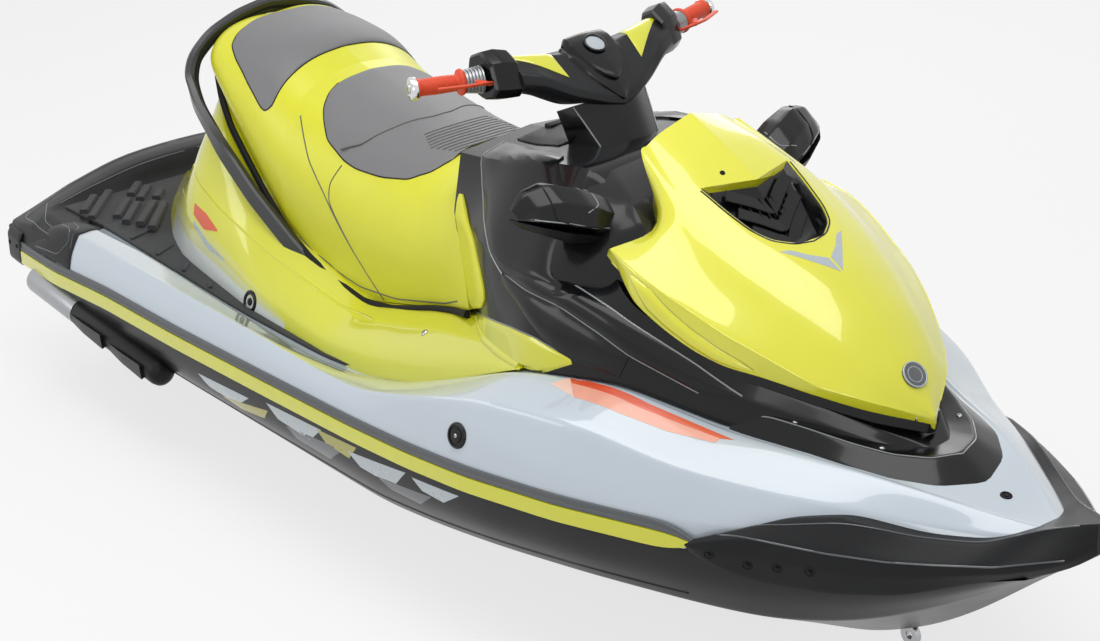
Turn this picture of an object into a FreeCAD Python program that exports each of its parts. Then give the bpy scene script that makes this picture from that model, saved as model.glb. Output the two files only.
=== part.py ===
import FreeCAD, Part
import math
import os

# Three-seat personal watercraft, standing on its keel pad. Millimetres, +X bow, +Y port, +Z up.
# The tables give x from the stern, y from the centre plane and z from the keel for the size below;
# at() scales them, so one change of LENGTH, BEAM or HEIGHT carries every piece along.
LENGTH = 3350.0
BEAM = 1220.0
HEIGHT = 1190.0
TABLE_LENGTH = 3350.0
TABLE_BEAM = 1220.0
TABLE_HEIGHT = 1190.0

RAIL_DEPTH = 8.0          # how far the side bands stand out from the deck flange
HULL_INSET = 14.0         # hull side inside the bands
BAND_LIME = 38.0          # height of the coloured band
BAND_RAIL = 24.0          # height of the grey rubbing strip above it
MAT = 8.0                 # thickness of the foam mats
MAT_EDGE = 12.0           # bare floor beside them
HOOD_WALL = 16.0          # shell thickness of the hood
LID_GAP = 6.0             # between the hood and what it closes on
MOVE_GAP = 6.0            # clearance round moving pieces
RUN_GAP = 0.05            # radial clearance of a running shaft

SEAM = 1700               # foot of the seam between seat and cowl
SEAM_Z = 570              # its height, the pedestal's top there
SEAM_LEAN = 0.21

PLATFORM_Z = 440.0        # top of the boarding platform
TRIM_STEP = 78.0          # stern trim: its flat top ends this far inside the flange
TRIM_EDGE = 16.0

STEER_RAKE = 24.0         # steering axis, degrees aft of upright
PUMP_Z = 150.0            # height of the jet pump axis
PUMP_BORE_R = 78.0
PUMP_WALL = 14.0
SPOUT_R = 44.0
SPOUT_BORE_R = 34.0
NOZZLE_AFT = 430.0        # steering pivot of the nozzle, aft of the tunnel's front wall
NOZZLE_R = 66.0
NOZZLE_WALL = 9.0
NOZZLE_PIN_R = 7.0
BUCKET_R = 100.0
BUCKET_WALL = 8.0
BUCKET_SIDE = 76.0        # inner face of the bucket's side plates
BUCKET_PLATE = 7.0
BUCKET_PIN_R = 6.0
BUCKET_EAR_R = 16.0
BUCKET_SPAN = 66.0        # degrees of arc of the bucket
BUCKET_RAISED = 40.0      # how far its arc lies aft of upright at rest
TUNNEL_FRONT = 600.0      # the pump tunnel
TUNNEL_Y = 120.0
TUNNEL_Z = 262.0
INTAKE_FRONT = 1000.0     # the water intake under the hull
INTAKE_Y = 75.0
INTAKE_Z = 228.0
BAY_REAR = 1000.0         # the engine bay
BAY_FRONT = 1800.0
BAY_Y = 260.0
BAY_Z = 100.0
BAY_TOP = 420.0
ENGINE_START = BAY_REAR + 60
ENGINE_END = BAY_REAR + 560
ENGINE_Y = 170.0
ENGINE_TOP = 335.0
SHAFT_END = ENGINE_START + 36
BELOW = 5.0               # how far cutters pass under the keel
RIDE_PLATE = 8.0
SHAFT_R = 13.0
EYE_BORE_R = 9.0
BAR_R = 11.0
GRIP_R = 17.0
SPONSON_R = 38.0
HINGE_PIN_R = 5.0
GRAB_R = 15.0             # grab rail

SX = LENGTH / TABLE_LENGTH
SY = BEAM / TABLE_BEAM
SZ = HEIGHT / TABLE_HEIGHT


def at(x, y, z):
    """Point of the craft from table values."""
    return FreeCAD.Vector((x - TABLE_LENGTH / 2) * SX, y * SY, z * SZ)


def table(columns, rows):
    """Rows with named columns; the first column is x."""
    names = columns.split()
    return [dict(zip(names, row)) for row in rows]


def between(rows, column, x):
    """Value of a table's column at x, straight between its rows."""
    for low, high in zip(rows, rows[1:]):
        if low["x"] <= x <= high["x"]:
            share = (x - low["x"]) / (high["x"] - low["x"])
            return low[column] + share * (high[column] - low[column])
    raise ValueError(x)


def seam_x(x, z):
    """The section that seat and cowl share leans aft above its foot; the others are upright."""
    if x == SEAM and z > SEAM_Z:
        return x - SEAM_LEAN * (z - SEAM_Z)
    return x


def ring(points):
    return Part.makePolygon(points + points[:1])


def loft(rings):
    return Part.makeLoft(rings, True, True)


def ribs(rows):
    """Loft along x of symmetric sections: rows of (x, [(y, z) on the port side, top to bottom])."""
    rings = []
    for x, half in rows:
        port = [at(seam_x(x, z), y, z) for y, z in half]
        starboard = [at(seam_x(x, z), -y, z) for y, z in reversed(half)]
        rings.append(ring(port + starboard))
    return loft(rings)


def side(rows):
    """Loft along x of port sections: rows of (x, [(y, z) all round])."""
    return loft([ring([at(x, y, z) for y, z in around]) for x, around in rows])


def mirror(shape):
    return shape.mirror(FreeCAD.Vector(0, 0, 0), FreeCAD.Vector(0, 1, 0))


def pair(shape):
    return Part.makeCompound([shape, mirror(shape)])


def block(low, high):
    """Box between two table corners."""
    a = at(*low)
    b = at(*high)
    return Part.makeBox(b.x - a.x, b.y - a.y, b.z - a.z, a)


def rod(start, end, radius):
    """Cylinder between two points."""
    run = end - start
    return Part.makeCylinder(radius, run.Length, start, run)


def bent_rod(points, radius):
    """Round bar along a bent line."""
    straights = [rod(start, end, radius) for start, end in zip(points, points[1:])]
    knees = [Part.makeSphere(radius, point) for point in points[1:-1]]
    return straights[0].multiFuse(straights[1:] + knees)


def flat(shape):
    """One compound of plain solids, without seams."""
    solids = shape.removeSplitter().Solids
    return solids[0] if len(solids) == 1 else Part.makeCompound(solids)


# half breadth over the side bands, height of the joint between hull and deck
PLAN = table("x beam_y joint_z", [
    (0, 530, 302),
    (130, 550, 310),
    (330, 576, 322),
    (600, 588, 339),
    (950, 601, 343),
    (1300, 606, 348),
    (1500, 608, 351),
    (1700, 610, 354),
    (1900, 606, 358),
    (2100, 595, 366),
    (2350, 551, 374),
    (2600, 472, 378),
    (2760, 404, 382),
    (2930, 329, 388),
    (3060, 262, 398),
    (3170, 186, 412),
    (3250, 118, 424),
])

# keel, half breadth of its flat pad, chine
BOTTOM = table("x keel_z pad_y chine_y chine_z", [
    (130, 0, 150, 465, 178),
    (330, 0, 150, 478, 186),
    (600, 0, 150, 490, 190),
    (950, 0, 130, 508, 190),
    (1300, 0, 110, 516, 185),
    (1500, 0, 100, 519, 178),
    (1700, 0, 100, 520, 174),
    (1900, 0, 90, 516, 188),
    (2100, 4, 75, 504, 206),
    (2350, 18, 60, 462, 221),
    (2600, 50, 42, 385, 223),
    (2760, 82, 30, 312, 218),
    (2930, 162, 20, 222, 248),
    (3060, 250, 12, 152, 306),
    (3170, 345, 8, 92, 368),
    (3250, 408, 6, 50, 416),
])

# deck: floor, inner edge of the gunwale, its crease, upright flange on the joint
TOP = table("x floor_y floor_z inner_y inner_z crease_y crease_z flange_y", [
    (330, 430, 440, 458, 446, 520, 452, 568),
    (600, 425, 415, 468, 462, 545, 462, 580),
    (950, 418, 383, 455, 425, 562, 477, 593),
    (1300, 418, 375, 448, 386, 570, 475, 598),
    (1500, 418, 388, 448, 398, 574, 466, 600),
    (1700, 425, 440, 455, 448, 578, 470, 602),
    (1900, 430, 520, 448, 526, 572, 520, 598),
    (2100, 426, 600, 432, 603, 545, 570, 587),
    (2350, 366, 628, 372, 631, 496, 578, 543),
    (2600, 280, 578, 288, 580, 424, 535, 464),
    (2760, 216, 562, 224, 563, 330, 505, 372),
    (2930, 165, 552, 173, 552, 246, 500, 262),
    (3060, 105, 530, 113, 530, 168, 486, 182),
    (3170, 42, 505, 50, 505, 96, 486, 108),
    (3245, 8, 500, 12, 500, 30, 488, 38),
])

BUMPER = table("x top_y top_z ridge_y ridge_z low_y low_z", [
    (2680, 430, 448, 441, 422, 430, 376),
    (2760, 388, 466, 406, 444, 392, 338),
    (2930, 284, 503, 331, 442, 320, 346),
    (3060, 206, 484, 264, 446, 252, 368),
    (3170, 136, 486, 190, 452, 170, 408),
    (3250, 74, 522, 122, 458, 98, 424),
    (3320, 30, 548, 46, 476, 34, 452),
    (3350, 12, 552, 14, 506, 12, 482),
])

# the seat and the rear of the cowl stand on its top
PEDESTAL = table("x foot_y shoulder_y top_z", [
    (140, 50, 36, 452),
    (330, 215, 120, 520),
    (470, 300, 160, 622),
    (560, 335, 190, 740),
    (600, 350, 205, 858),
    (950, 385, 245, 560),
    (1300, 400, 250, 468),
    (1500, 414, 250, 518),
    (SEAM, 423, 262, SEAM_Z),
    (1900, 428, 345, 592),
    (2090, 424, 418, 600),
])

SEAT = table("x side_y side_z shoulder_y shoulder_z crown_y crown_z", [
    (560, 190, 925, 150, 955, 70, 965),
    (600, 228, 905, 185, 955, 90, 982),
    (700, 252, 850, 200, 940, 95, 990),
    (820, 264, 790, 200, 925, 95, 985),
    (950, 268, 735, 198, 872, 90, 928),
    (1050, 268, 700, 196, 842, 88, 905),
    (1300, 268, 640, 196, 800, 88, 868),
    (1500, 268, 660, 196, 795, 90, 852),
    (1580, 267, 685, 197, 812, 92, 860),
    (SEAM, 258, 730, 200, 858, 100, 896),
])
SEAT_SPLIT = 950.0        # between the two seats

SEAT_BASE = table("x base_y base_z", [
    (560, 170, 892),
    (600, 200, 858),
    (950, 244, 560),
    (1300, 248, 468),
    (1500, 248, 518),
    (SEAM, 248, SEAM_Z),
])

COWL_REAR = table("x base_y flank_y flank_z top_y top_z", [
    (SEAM, 262, 300, 750, 214, 922),
    (1900, 362, 344, 800, 214, 975),
    (2090, 416, 366, 800, 196, 1000),
    (2170, 405, 362, 796, 188, 1000),
])
COWL_FRONT = table("x base_y flank_y flank_z top_y top_z", [
    (2170, 405, 362, 796, 186, 872),
    (2262, 384, 354, 770, 300, 828),
    (2350, 362, 346, 745, 318, 788),
    (2600, 268, 262, 650, 242, 698),
    (2760, 160, 160, 610, 150, 645),
    (2930, 60, 50, 572, 30, 592),
])

GARNISH = table("x base_y top_y top_z", [
    (2600, 277, 272, 584),
    (2760, 214, 168, 612),
    (2930, 163, 82, 588),
    (3060, 100, 24, 548),
])

HOOD = table("x wing_y wing_z shoulder_y shoulder_z crown_y crown_z edge_y", [
    (2178, 192, 930, 152, 1045, 60, 1100, 188),
    (2262, 305, 892, 182, 1008, 60, 1075, 300),
    (2350, 330, 862, 200, 965, 60, 1040, 325),
    (2600, 252, 788, 155, 860, 45, 888, 246),
    (2760, 168, 705, 100, 770, 30, 785, 164),
    (2905, 24, 618, 18, 632, 8, 640, 22),
])

# the scoop's pocket in the hood
SCOOP = table("x half_y floor_z", [
    (2386, 104, 996),
    (2489, 92, 877),
    (2640, 12, 866),
])
GRILLE = 12.0             # thickness of the scoop's grille

# platform: crown and shoulder of the lip behind it
LIP = table("x crown_y crown_z lip_y lip_z", [
    (0, 130, 506, 330, 482),
    (90, 130, 506, 330, 482),
    (130, 130, 440, 330, 440),
    (330, 130, 440, 330, 440),
])

# grab rail's port half, foot to top
GRAB = table("x y z", [
    (1180, 260, 462),
    (1016, 283, 556),
    (860, 285, 640),
    (736, 284, 725),
    (620, 276, 812),
    (566, 262, 868),
    (546, 238, 935),
    (546, 170, 985),
    (543, 0, 1000),
])

# ---- hull, deck and what follows their edge ----

hull_rows = []
for r in BOTTOM:
    rail_y = between(PLAN, "beam_y", r["x"]) - HULL_INSET
    joint_z = between(PLAN, "joint_z", r["x"])
    half = [(rail_y, joint_z), (r["chine_y"], r["chine_z"]), (r["pad_y"], r["keel_z"])]
    hull_rows.append((r["x"], half))
hull = ribs(hull_rows)

hull = hull.cut(block((0, -TUNNEL_Y, -BELOW), (TUNNEL_FRONT, TUNNEL_Y, TUNNEL_Z)))
mouth = [(-INTAKE_Y, -BELOW), (INTAKE_Y, -BELOW), (INTAKE_Y, INTAKE_Z), (-INTAKE_Y, INTAKE_Z)]
lip = [(-INTAKE_Y, -BELOW), (INTAKE_Y, -BELOW), (INTAKE_Y, 2), (-INTAKE_Y, 2)]
hull = hull.cut(side([(TUNNEL_FRONT - 2, mouth), (INTAKE_FRONT, lip)]))
hull = hull.cut(block((BAY_REAR, -BAY_Y, BAY_Z), (BAY_FRONT, BAY_Y, BAY_TOP)))
shaft_hole = rod(at(TUNNEL_FRONT, 0, PUMP_Z), at(BAY_REAR + 10, 0, PUMP_Z), SHAFT_R + RUN_GAP)
hull = hull.cut(shaft_hole)

rail_top = BAND_LIME + BAND_RAIL
deck_rows = []
for r in TOP:
    joint_z = between(PLAN, "joint_z", r["x"])
    half = [(r["floor_y"], r["floor_z"]), (r["inner_y"], r["inner_z"])]
    half += [(r["crease_y"], r["crease_z"])]
    half += [(r["flange_y"], joint_z + rail_top), (r["flange_y"], joint_z)]
    deck_rows.append((r["x"], half))
deck = ribs(deck_rows)
tail_rows = []
for r in PLAN[:3]:
    flange_y = r["beam_y"] - RAIL_DEPTH
    half = [(flange_y, r["joint_z"] + rail_top), (flange_y, r["joint_z"])]
    tail_rows.append((r["x"], half))
trim_rows = []
for r in LIP:
    flange_y = between(PLAN, "beam_y", r["x"]) - RAIL_DEPTH
    flange_z = between(PLAN, "joint_z", r["x"]) + rail_top
    half = [(r["crown_y"], r["crown_z"]), (r["lip_y"], r["lip_z"])]
    half += [(flange_y - TRIM_STEP, PLATFORM_Z), (flange_y - TRIM_EDGE, PLATFORM_Z - 12)]
    half += [(flange_y, flange_z)]
    trim_rows.append((r["x"], half))
deck = deck.fuse(ribs(tail_rows))
stern_trim = ribs(trim_rows)

lime_rows = []
rail_rows = []
for r in PLAN[:12]:
    outer = r["beam_y"]
    inner = outer - RAIL_DEPTH
    low_z = r["joint_z"]
    lime_z = low_z + BAND_LIME
    top_z = low_z + rail_top
    around = [(inner, low_z), (outer, low_z), (outer, lime_z), (inner, lime_z)]
    lime_rows.append((r["x"], around))
    around = [(inner, lime_z), (outer, lime_z), (outer - 2, top_z), (inner, top_z)]
    rail_rows.append((r["x"], around))
side_bands = pair(side(lime_rows))
side_rails = pair(side(rail_rows))

bumper_rows = []
for r in BUMPER:
    half = [(r["top_y"], r["top_z"]), (r["ridge_y"], r["ridge_z"]), (r["low_y"], r["low_z"])]
    bumper_rows.append((r["x"], half))
well_rows = []
for r in TOP[-6:]:
    joint_z = between(PLAN, "joint_z", r["x"])
    well_rows.append((r["x"], [(r["flange_y"], TABLE_HEIGHT), (r["flange_y"], joint_z - 20)]))
bow_bumper = ribs(bumper_rows).cut(ribs(well_rows)).cut(hull)

# ---- pedestal, mats ----

pedestal_rows = []
for r in PEDESTAL:
    foot_z = between(TOP, "floor_z", max(r["x"], TOP[0]["x"]))
    half = [(r["shoulder_y"], r["top_z"]), (r["foot_y"], foot_z)]
    pedestal_rows.append((r["x"], half))
pedestal = ribs(pedestal_rows)

mat_rows = []
for r in TOP[:5]:
    low = r["floor_z"]
    edge = r["floor_y"] - MAT_EDGE
    mat_rows.append((r["x"], [(0, low), (edge, low), (edge, low + MAT), (0, low + MAT)]))
platform_edge = TOP[0]["floor_y"] - MAT_EDGE
platform = block((134, -platform_edge, PLATFORM_Z - 10), (330, platform_edge, PLATFORM_Z + MAT))
platform = platform.cut(stern_trim)
mat_half = side(mat_rows)
footwell_mats = mat_half.fuse(mirror(mat_half)).cut(pedestal)
platform_mat = platform.cut(pedestal)

# ---- seats ----


def cushion(rows):
    sections = []
    for r in rows:
        half = [(r["crown_y"], r["crown_z"]), (r["shoulder_y"], r["shoulder_z"])]
        half += [(r["side_y"], r["side_z"])]
        half += [(between(SEAT_BASE, "base_y", r["x"]), between(SEAT_BASE, "base_z", r["x"]))]
        sections.append((r["x"], half))
    return ribs(sections)


seat_rear = cushion([r for r in SEAT if r["x"] <= SEAT_SPLIT])
seat_front = cushion([r for r in SEAT if r["x"] >= SEAT_SPLIT])

rail_half = bent_rod([at(r["x"], r["y"], r["z"]) for r in GRAB], GRAB_R)
grab_rail = rail_half.fuse(mirror(rail_half)).cut(pedestal).cut(seat_rear).cut(seat_front)

# ---- cowl, garnish, hood ----


def shelf_z(x):
    """Height of what the cowl stands on: the pedestal, then the deck."""
    if x <= PEDESTAL[-1]["x"]:
        return between(PEDESTAL, "top_z", x)
    return between(TOP, "floor_z", x)


def cowl_part(rows):
    sections = []
    for r in rows:
        half = [(r["top_y"], r["top_z"]), (r["flank_y"], r["flank_z"])]
        half += [(r["base_y"], shelf_z(r["x"]))]
        sections.append((r["x"], half))
    return ribs(sections)


cowl = cowl_part(COWL_REAR).fuse(cowl_part(COWL_FRONT))
BIN = ((2330, -190, 640), (2600, 190, 900))
cowl = cowl.cut(block(*BIN))
NOSE_REAR = 2852          # room for the hood's tip and its hinge
NOSE_FRONT = 2990
NOSE_Y = 70
NOSE_Z = 578
NOSE_RECESS = block((NOSE_REAR, -NOSE_Y, NOSE_Z), (NOSE_FRONT, NOSE_Y, 720))
cowl = cowl.cut(NOSE_RECESS)

garnish_rows = []
for r in GARNISH:
    half = [(r["top_y"], r["top_z"]), (r["base_y"], between(TOP, "floor_z", r["x"]))]
    garnish_rows.append((r["x"], half))
bow_garnish = ribs(garnish_rows).cut(cowl).cut(NOSE_RECESS)


hood_rows = []
cave_rows = []
for r in HOOD:
    edge_z = between(COWL_FRONT, "top_z", r["x"]) + LID_GAP
    outer = [(r["crown_y"], r["crown_z"]), (r["shoulder_y"], r["shoulder_z"])]
    outer += [(r["wing_y"], r["wing_z"])]
    hood_rows.append((r["x"], outer + [(r["edge_y"], edge_z)]))
    inner = [(y - HOOD_WALL, z - HOOD_WALL) for y, z in outer]
    inner += [(r["edge_y"] - HOOD_WALL, edge_z - 5)]
    cave_rows.append((max(r["x"], HOOD[0]["x"] + HOOD_WALL), inner))
hood_solid = ribs(hood_rows)
hood = hood_solid.cut(ribs(cave_rows[:5]))

# air scoop: a V-shaped pocket with a slanted grille at its rear
scoop_rows = []
pocket_rows = []
grille_rows = []
for r in SCOOP:
    half = r["half_y"]
    low = r["floor_z"]
    scoop_rows.append((r["x"], [(half, TABLE_HEIGHT), (half, low)]))
    wide = half + HOOD_WALL
    pocket_rows.append((r["x"], [(wide, TABLE_HEIGHT), (wide, low - HOOD_WALL)]))
    grille_rows.append((r["x"], [(half, low + GRILLE), (half, low)]))
hood = hood.fuse(ribs(pocket_rows).common(hood_solid)).cut(ribs(scoop_rows))
scoop_grille = ribs(grille_rows[:2]).common(hood_solid)

# hinge at the nose: lugs on the cowl hold the pin, the hood's cheeks turn on it
PIN_X = 2884
PIN_Z = 624
LUG_Y = 16
LUG_ROOM = LUG_Y + MOVE_GAP
PIN_END = 34
hood = hood.cut(block((PIN_X - 28, -LUG_ROOM, 560), (PIN_X + 60, LUG_ROOM, 700)))
hood = hood.cut(rod(at(PIN_X, -PIN_END, PIN_Z), at(PIN_X, PIN_END, PIN_Z), HINGE_PIN_R + RUN_GAP))
hinge_lug = block((PIN_X - 11, -LUG_Y, NOSE_Z), (PIN_X + 11, LUG_Y, PIN_Z + 11))
hinge_pin = rod(at(PIN_X, -PIN_END, PIN_Z), at(PIN_X, PIN_END, PIN_Z), HINGE_PIN_R)
hood_hinge = hinge_lug.fuse(hinge_pin)

BADGE_R = 30.0
badge_at = at(2846, 0, 706)
badge_out = FreeCAD.Vector(0.62, 0, 0.785)
hood_badge = rod(badge_at - badge_out * 14, badge_at + badge_out * 6, BADGE_R)
hood = hood.cut(hood_badge)

# ---- steering ----

rake = math.radians(STEER_RAKE)
steer_up = FreeCAD.Vector(-math.sin(rake), 0, math.cos(rake))
steer_fore = FreeCAD.Vector(math.cos(rake), 0, math.sin(rake))
steer_base = at(1930, 0, 1000)


def on_column(fore, y, up):
    """Point from the steering axis: ahead of it, to port, along it."""
    return steer_base + steer_fore * fore + FreeCAD.Vector(0, y, 0) + steer_up * up


def column_ring(up, nose, fore, aft, half):
    """Section of the steering column's cover: its nose, then the edges beside it."""
    points = [(nose, 0), (fore, half), (-aft, half), (-aft, -half), (fore, -half)]
    return ring([on_column(a, b, up) for a, b in points])


STEM_R = 16.0
stem_hole = rod(on_column(0, 0, -90), on_column(0, 0, 200), STEM_R + RUN_GAP)
column_cover = loft([column_ring(-70, 70, 46, 74, 74), column_ring(74, 66, 10, 56, 102)])
column_cover = column_cover.cut(cowl).cut(stem_hole)
cowl = cowl.cut(stem_hole)
stem = rod(on_column(0, 0, -88), on_column(0, 0, 150), STEM_R)

# ahead of the axis, y, along the axis
BAR = [(0, 0, 140), (-8, 120, 155), (-50, 250, 186), (-101, 432, 212)]
bar_points = [on_column(*row) for row in BAR]
bar_half = bent_rod(bar_points, BAR_R)
handlebar = bar_half.fuse(mirror(bar_half)).fuse(stem)


def along_bar(y):
    """Point of the handlebar's port half at breadth y."""
    for low, high in zip(bar_points, bar_points[1:]):
        if low.y <= y <= high.y:
            return low + (high - low) * ((y - low.y) / (high.y - low.y))
    raise ValueError(y)


def sleeve(low_y, high_y, radius):
    return rod(along_bar(low_y), along_bar(high_y), radius).cut(bar_half)


grips = pair(sleeve(312, 414, GRIP_R))
bar_ends = pair(sleeve(414, 431, GRIP_R - 1))
pod_low = along_bar(206)
pod_high = along_bar(276)
pod_rings = []
for centre, fore, up in ((pod_low, 30, 30), (pod_high, 34, 30)):
    corners = [(fore, up * 0.7), (fore * 0.4, up), (-fore, up), (-fore, -up), (fore, -up)]
    pod_rings.append(ring([centre + steer_fore * a + steer_up * b for a, b in corners]))
pod_half = loft(pod_rings).cut(bar_half)
switch_pods = pair(pod_half)
collars = pair(sleeve(270, 312, GRIP_R + 4).cut(pod_half))

# y, fore edge, aft edge, underside, top along the axis
COVER = [
    (0, 112, 66, 84, 171),
    (70, 84, 66, 92, 176),
    (130, 46, 58, 112, 178),
    (202, 8, 62, 140, 200),
]
cover_rings = []
for y, fore, aft, low, high in COVER:
    corners = [(fore, low + 14), (fore - 30, high), (-aft, high), (-aft, low), (fore - 20, low)]
    cover_rings.append(ring([on_column(a, y, b) for a, b in corners]))
cover_half = loft(cover_rings)
bar_cover = cover_half.fuse(mirror(cover_half)).cut(handlebar)
METER_R = 26.0
meter = rod(on_column(6, 0, 170), on_column(6, 0, 186), METER_R).cut(bar_cover)

lever_points = [on_column(-34, 262, 172), on_column(2, 300, 178), on_column(-38, 400, 196)]
lever_half = bent_rod(lever_points, 6.0).cut(pod_half)
levers = pair(lever_half)

# ---- mirrors ----
MIRROR = [
    (225, [(2090, 860), (2192, 852), (2198, 912), (2110, 958)]),
    (330, [(2072, 884), (2176, 888), (2172, 958), (2092, 1000)]),
    (434, [(2078, 932), (2124, 926), (2136, 956), (2092, 980)]),
]
mirror_shell = loft([ring([at(x, y, z) for x, z in around]) for y, around in MIRROR])
mirror_body = mirror_shell.cut(cowl)

# ---- jet drive, laid out from the front wall of the tunnel ----
drive_base = at(TUNNEL_FRONT, 0, PUMP_Z)
AFT = FreeCAD.Vector(-1, 0, 0)
FORE = FreeCAD.Vector(1, 0, 0)


def drive(aft, y, up):
    """Point of the jet drive: aft of the tunnel's front wall, to port, above the pump axis."""
    return drive_base + FreeCAD.Vector(-aft, y, up)


def drive_box(aft, half, low, high):
    """Box of the jet drive, aft = (near, far)."""
    corner = drive(aft[1], -half, low)
    return Part.makeBox(aft[1] - aft[0], 2 * half, high - low, corner)


PUMP_R = PUMP_BORE_R + PUMP_WALL
FLANGE = 40.0             # thickness of the pump's mounting flange
PUMP_LENGTH = 320.0
SPOUT_START = 370.0       # where the cone ends, aft of the tunnel's front wall
SPOUT_END = 434.0
ARM_Z = 76.0              # inner face of the arms that hold the nozzle
ARM = 10.0                # their thickness
PIN_Z_END = ARM_Z + ARM + 2
cone_length = SPOUT_START - PUMP_LENGTH + 18
pump_housing = rod(drive(0, 0, 0), drive(PUMP_LENGTH, 0, 0), PUMP_R)
pump_housing = pump_housing.fuse(Part.makeCone(
    PUMP_R, SPOUT_R, cone_length, drive(PUMP_LENGTH, 0, 0), AFT))
pump_housing = pump_housing.fuse(rod(drive(PUMP_LENGTH, 0, 0), drive(SPOUT_END, 0, 0), SPOUT_R))
flange_low = at(TUNNEL_FRONT, -TUNNEL_Y, RIDE_PLATE)
flange_high = at(TUNNEL_FRONT, TUNNEL_Y, TUNNEL_Z)
pump_housing = pump_housing.fuse(Part.makeBox(
    FLANGE, flange_high.y - flange_low.y, flange_high.z - flange_low.z,
    flange_low - FreeCAD.Vector(FLANGE, 0, 0)))
for low in (ARM_Z, -ARM_Z - ARM):
    pump_housing = pump_housing.fuse(drive_box((PUMP_LENGTH - 20, NOZZLE_AFT + 12), 16, low, low + ARM))
pump_housing = pump_housing.cut(rod(drive(-10, 0, 0), drive(PUMP_LENGTH - 16, 0, 0), PUMP_BORE_R))
pump_housing = pump_housing.cut(Part.makeCone(
    PUMP_BORE_R, SPOUT_BORE_R, cone_length, drive(PUMP_LENGTH - 16, 0, 0), AFT))
pump_housing = pump_housing.cut(rod(drive(PUMP_LENGTH, 0, 0), drive(SPOUT_END + 10, 0, 0), SPOUT_BORE_R))
pin_low = drive(NOZZLE_AFT, 0, -PIN_Z_END)
pin_high = drive(NOZZLE_AFT, 0, PIN_Z_END)
pump_housing = pump_housing.cut(rod(pin_low, pin_high, NOZZLE_PIN_R + RUN_GAP))

HUB_R = 30.0
HUB_AFT = 220.0
BLADES = 4
BLADE_PITCH = 35.0
BLADE_CHORD = 84.0
BLADE = 7.0
blade_reach = PUMP_BORE_R - MOVE_GAP
shaft_end = at(SHAFT_END, 0, PUMP_Z)
impeller = rod(drive(HUB_AFT, 0, 0), drive(100, 0, 0), HUB_R)
impeller = impeller.fuse(rod(drive(100, 0, 0), shaft_end, SHAFT_R))
blade_at = drive(HUB_AFT - 60, 0, 0)
for n in range(BLADES):
    corner = blade_at - FreeCAD.Vector(BLADE_CHORD / 2, BLADE / 2, 0)
    blade = Part.makeBox(BLADE_CHORD, BLADE, blade_reach - 3, corner)
    blade.rotate(blade_at, FreeCAD.Vector(0, 0, 1), BLADE_PITCH)
    blade.rotate(blade_at, FORE, n * 360 / BLADES)
    impeller = impeller.fuse(blade)

bucket_at = drive(NOZZLE_AFT + 60, 0, 0)
SIDEWAYS = FreeCAD.Vector(0, 1, 0)
nozzle_front = drive(NOZZLE_AFT - 16, 0, 0)
nozzle_rear = drive(NOZZLE_AFT + 120, 0, 0)
nozzle = rod(nozzle_rear, nozzle_front, NOZZLE_R)
nozzle = nozzle.fuse(rod(pin_low, pin_high, NOZZLE_PIN_R))
pin_end = BUCKET_SIDE + BUCKET_PLATE
nozzle = nozzle.fuse(rod(
    bucket_at - SIDEWAYS * pin_end, bucket_at + SIDEWAYS * pin_end, BUCKET_PIN_R))
nozzle = nozzle.cut(rod(nozzle_rear + AFT * 10, nozzle_front + FORE * 10, NOZZLE_R - NOZZLE_WALL))

reverse_bucket = Part.makeCylinder(
    BUCKET_R, 2 * pin_end, bucket_at - SIDEWAYS * pin_end, SIDEWAYS, BUCKET_SPAN)
for y in (-pin_end, BUCKET_SIDE):
    reverse_bucket = reverse_bucket.fuse(Part.makeCylinder(
        BUCKET_EAR_R, BUCKET_PLATE, bucket_at + SIDEWAYS * y, SIDEWAYS))
reverse_bucket = reverse_bucket.cut(Part.makeCylinder(
    BUCKET_R - BUCKET_WALL, 2 * BUCKET_SIDE, bucket_at - SIDEWAYS * BUCKET_SIDE, SIDEWAYS))
reverse_bucket = reverse_bucket.cut(Part.makeCylinder(
    BUCKET_PIN_R + RUN_GAP, 4 * BUCKET_SIDE, bucket_at - SIDEWAYS * 2 * BUCKET_SIDE, SIDEWAYS))
reverse_bucket.rotate(bucket_at, SIDEWAYS, -BUCKET_RAISED)

ride_plate = block((BOTTOM[0]["x"], -TUNNEL_Y, 0), (TUNNEL_FRONT, TUNNEL_Y, RIDE_PLATE))
GRATE_BARS = (-60, -30, 30, 60)
GRATE_TIES = (620, 800)
intake_grate = block((TUNNEL_FRONT, -5, 0), (INTAKE_FRONT + 6, 5, RIDE_PLATE))
for y in GRATE_BARS:
    bar = block((TUNNEL_FRONT, y - 5, 0), (INTAKE_FRONT + 6, y + 5, RIDE_PLATE))
    intake_grate = intake_grate.fuse(bar)
for x in GRATE_TIES:
    intake_grate = intake_grate.fuse(block((x, -INTAKE_Y, 0), (x + 14, INTAKE_Y, RIDE_PLATE)))
intake_grate = intake_grate.cut(hull)

engine = block((ENGINE_START, -ENGINE_Y, BAY_Z), (ENGINE_END, ENGINE_Y, ENGINE_TOP))
engine = engine.cut(rod(at(BAY_REAR, 0, PUMP_Z), at(BAY_REAR + 100, 0, PUMP_Z), SHAFT_R + RUN_GAP))

# ---- sponsons, eyes, fittings ----
SPONSON = [(180, 543, 290), (820, 556, 218)]
TAIL_SHARE = 0.36         # share of its length that is the tail
sponson_start, sponson_end = [at(*row) for row in SPONSON]
sponson_split = sponson_start + (sponson_end - sponson_start) * TAIL_SHARE
wall_side = hull.fuse(deck)
sponson_tail = rod(sponson_start, sponson_split, SPONSON_R).cut(wall_side).cut(side_bands)
sponson_tails = pair(sponson_tail)
sponsons = pair(rod(sponson_split, sponson_end, SPONSON_R).cut(wall_side))

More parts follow.
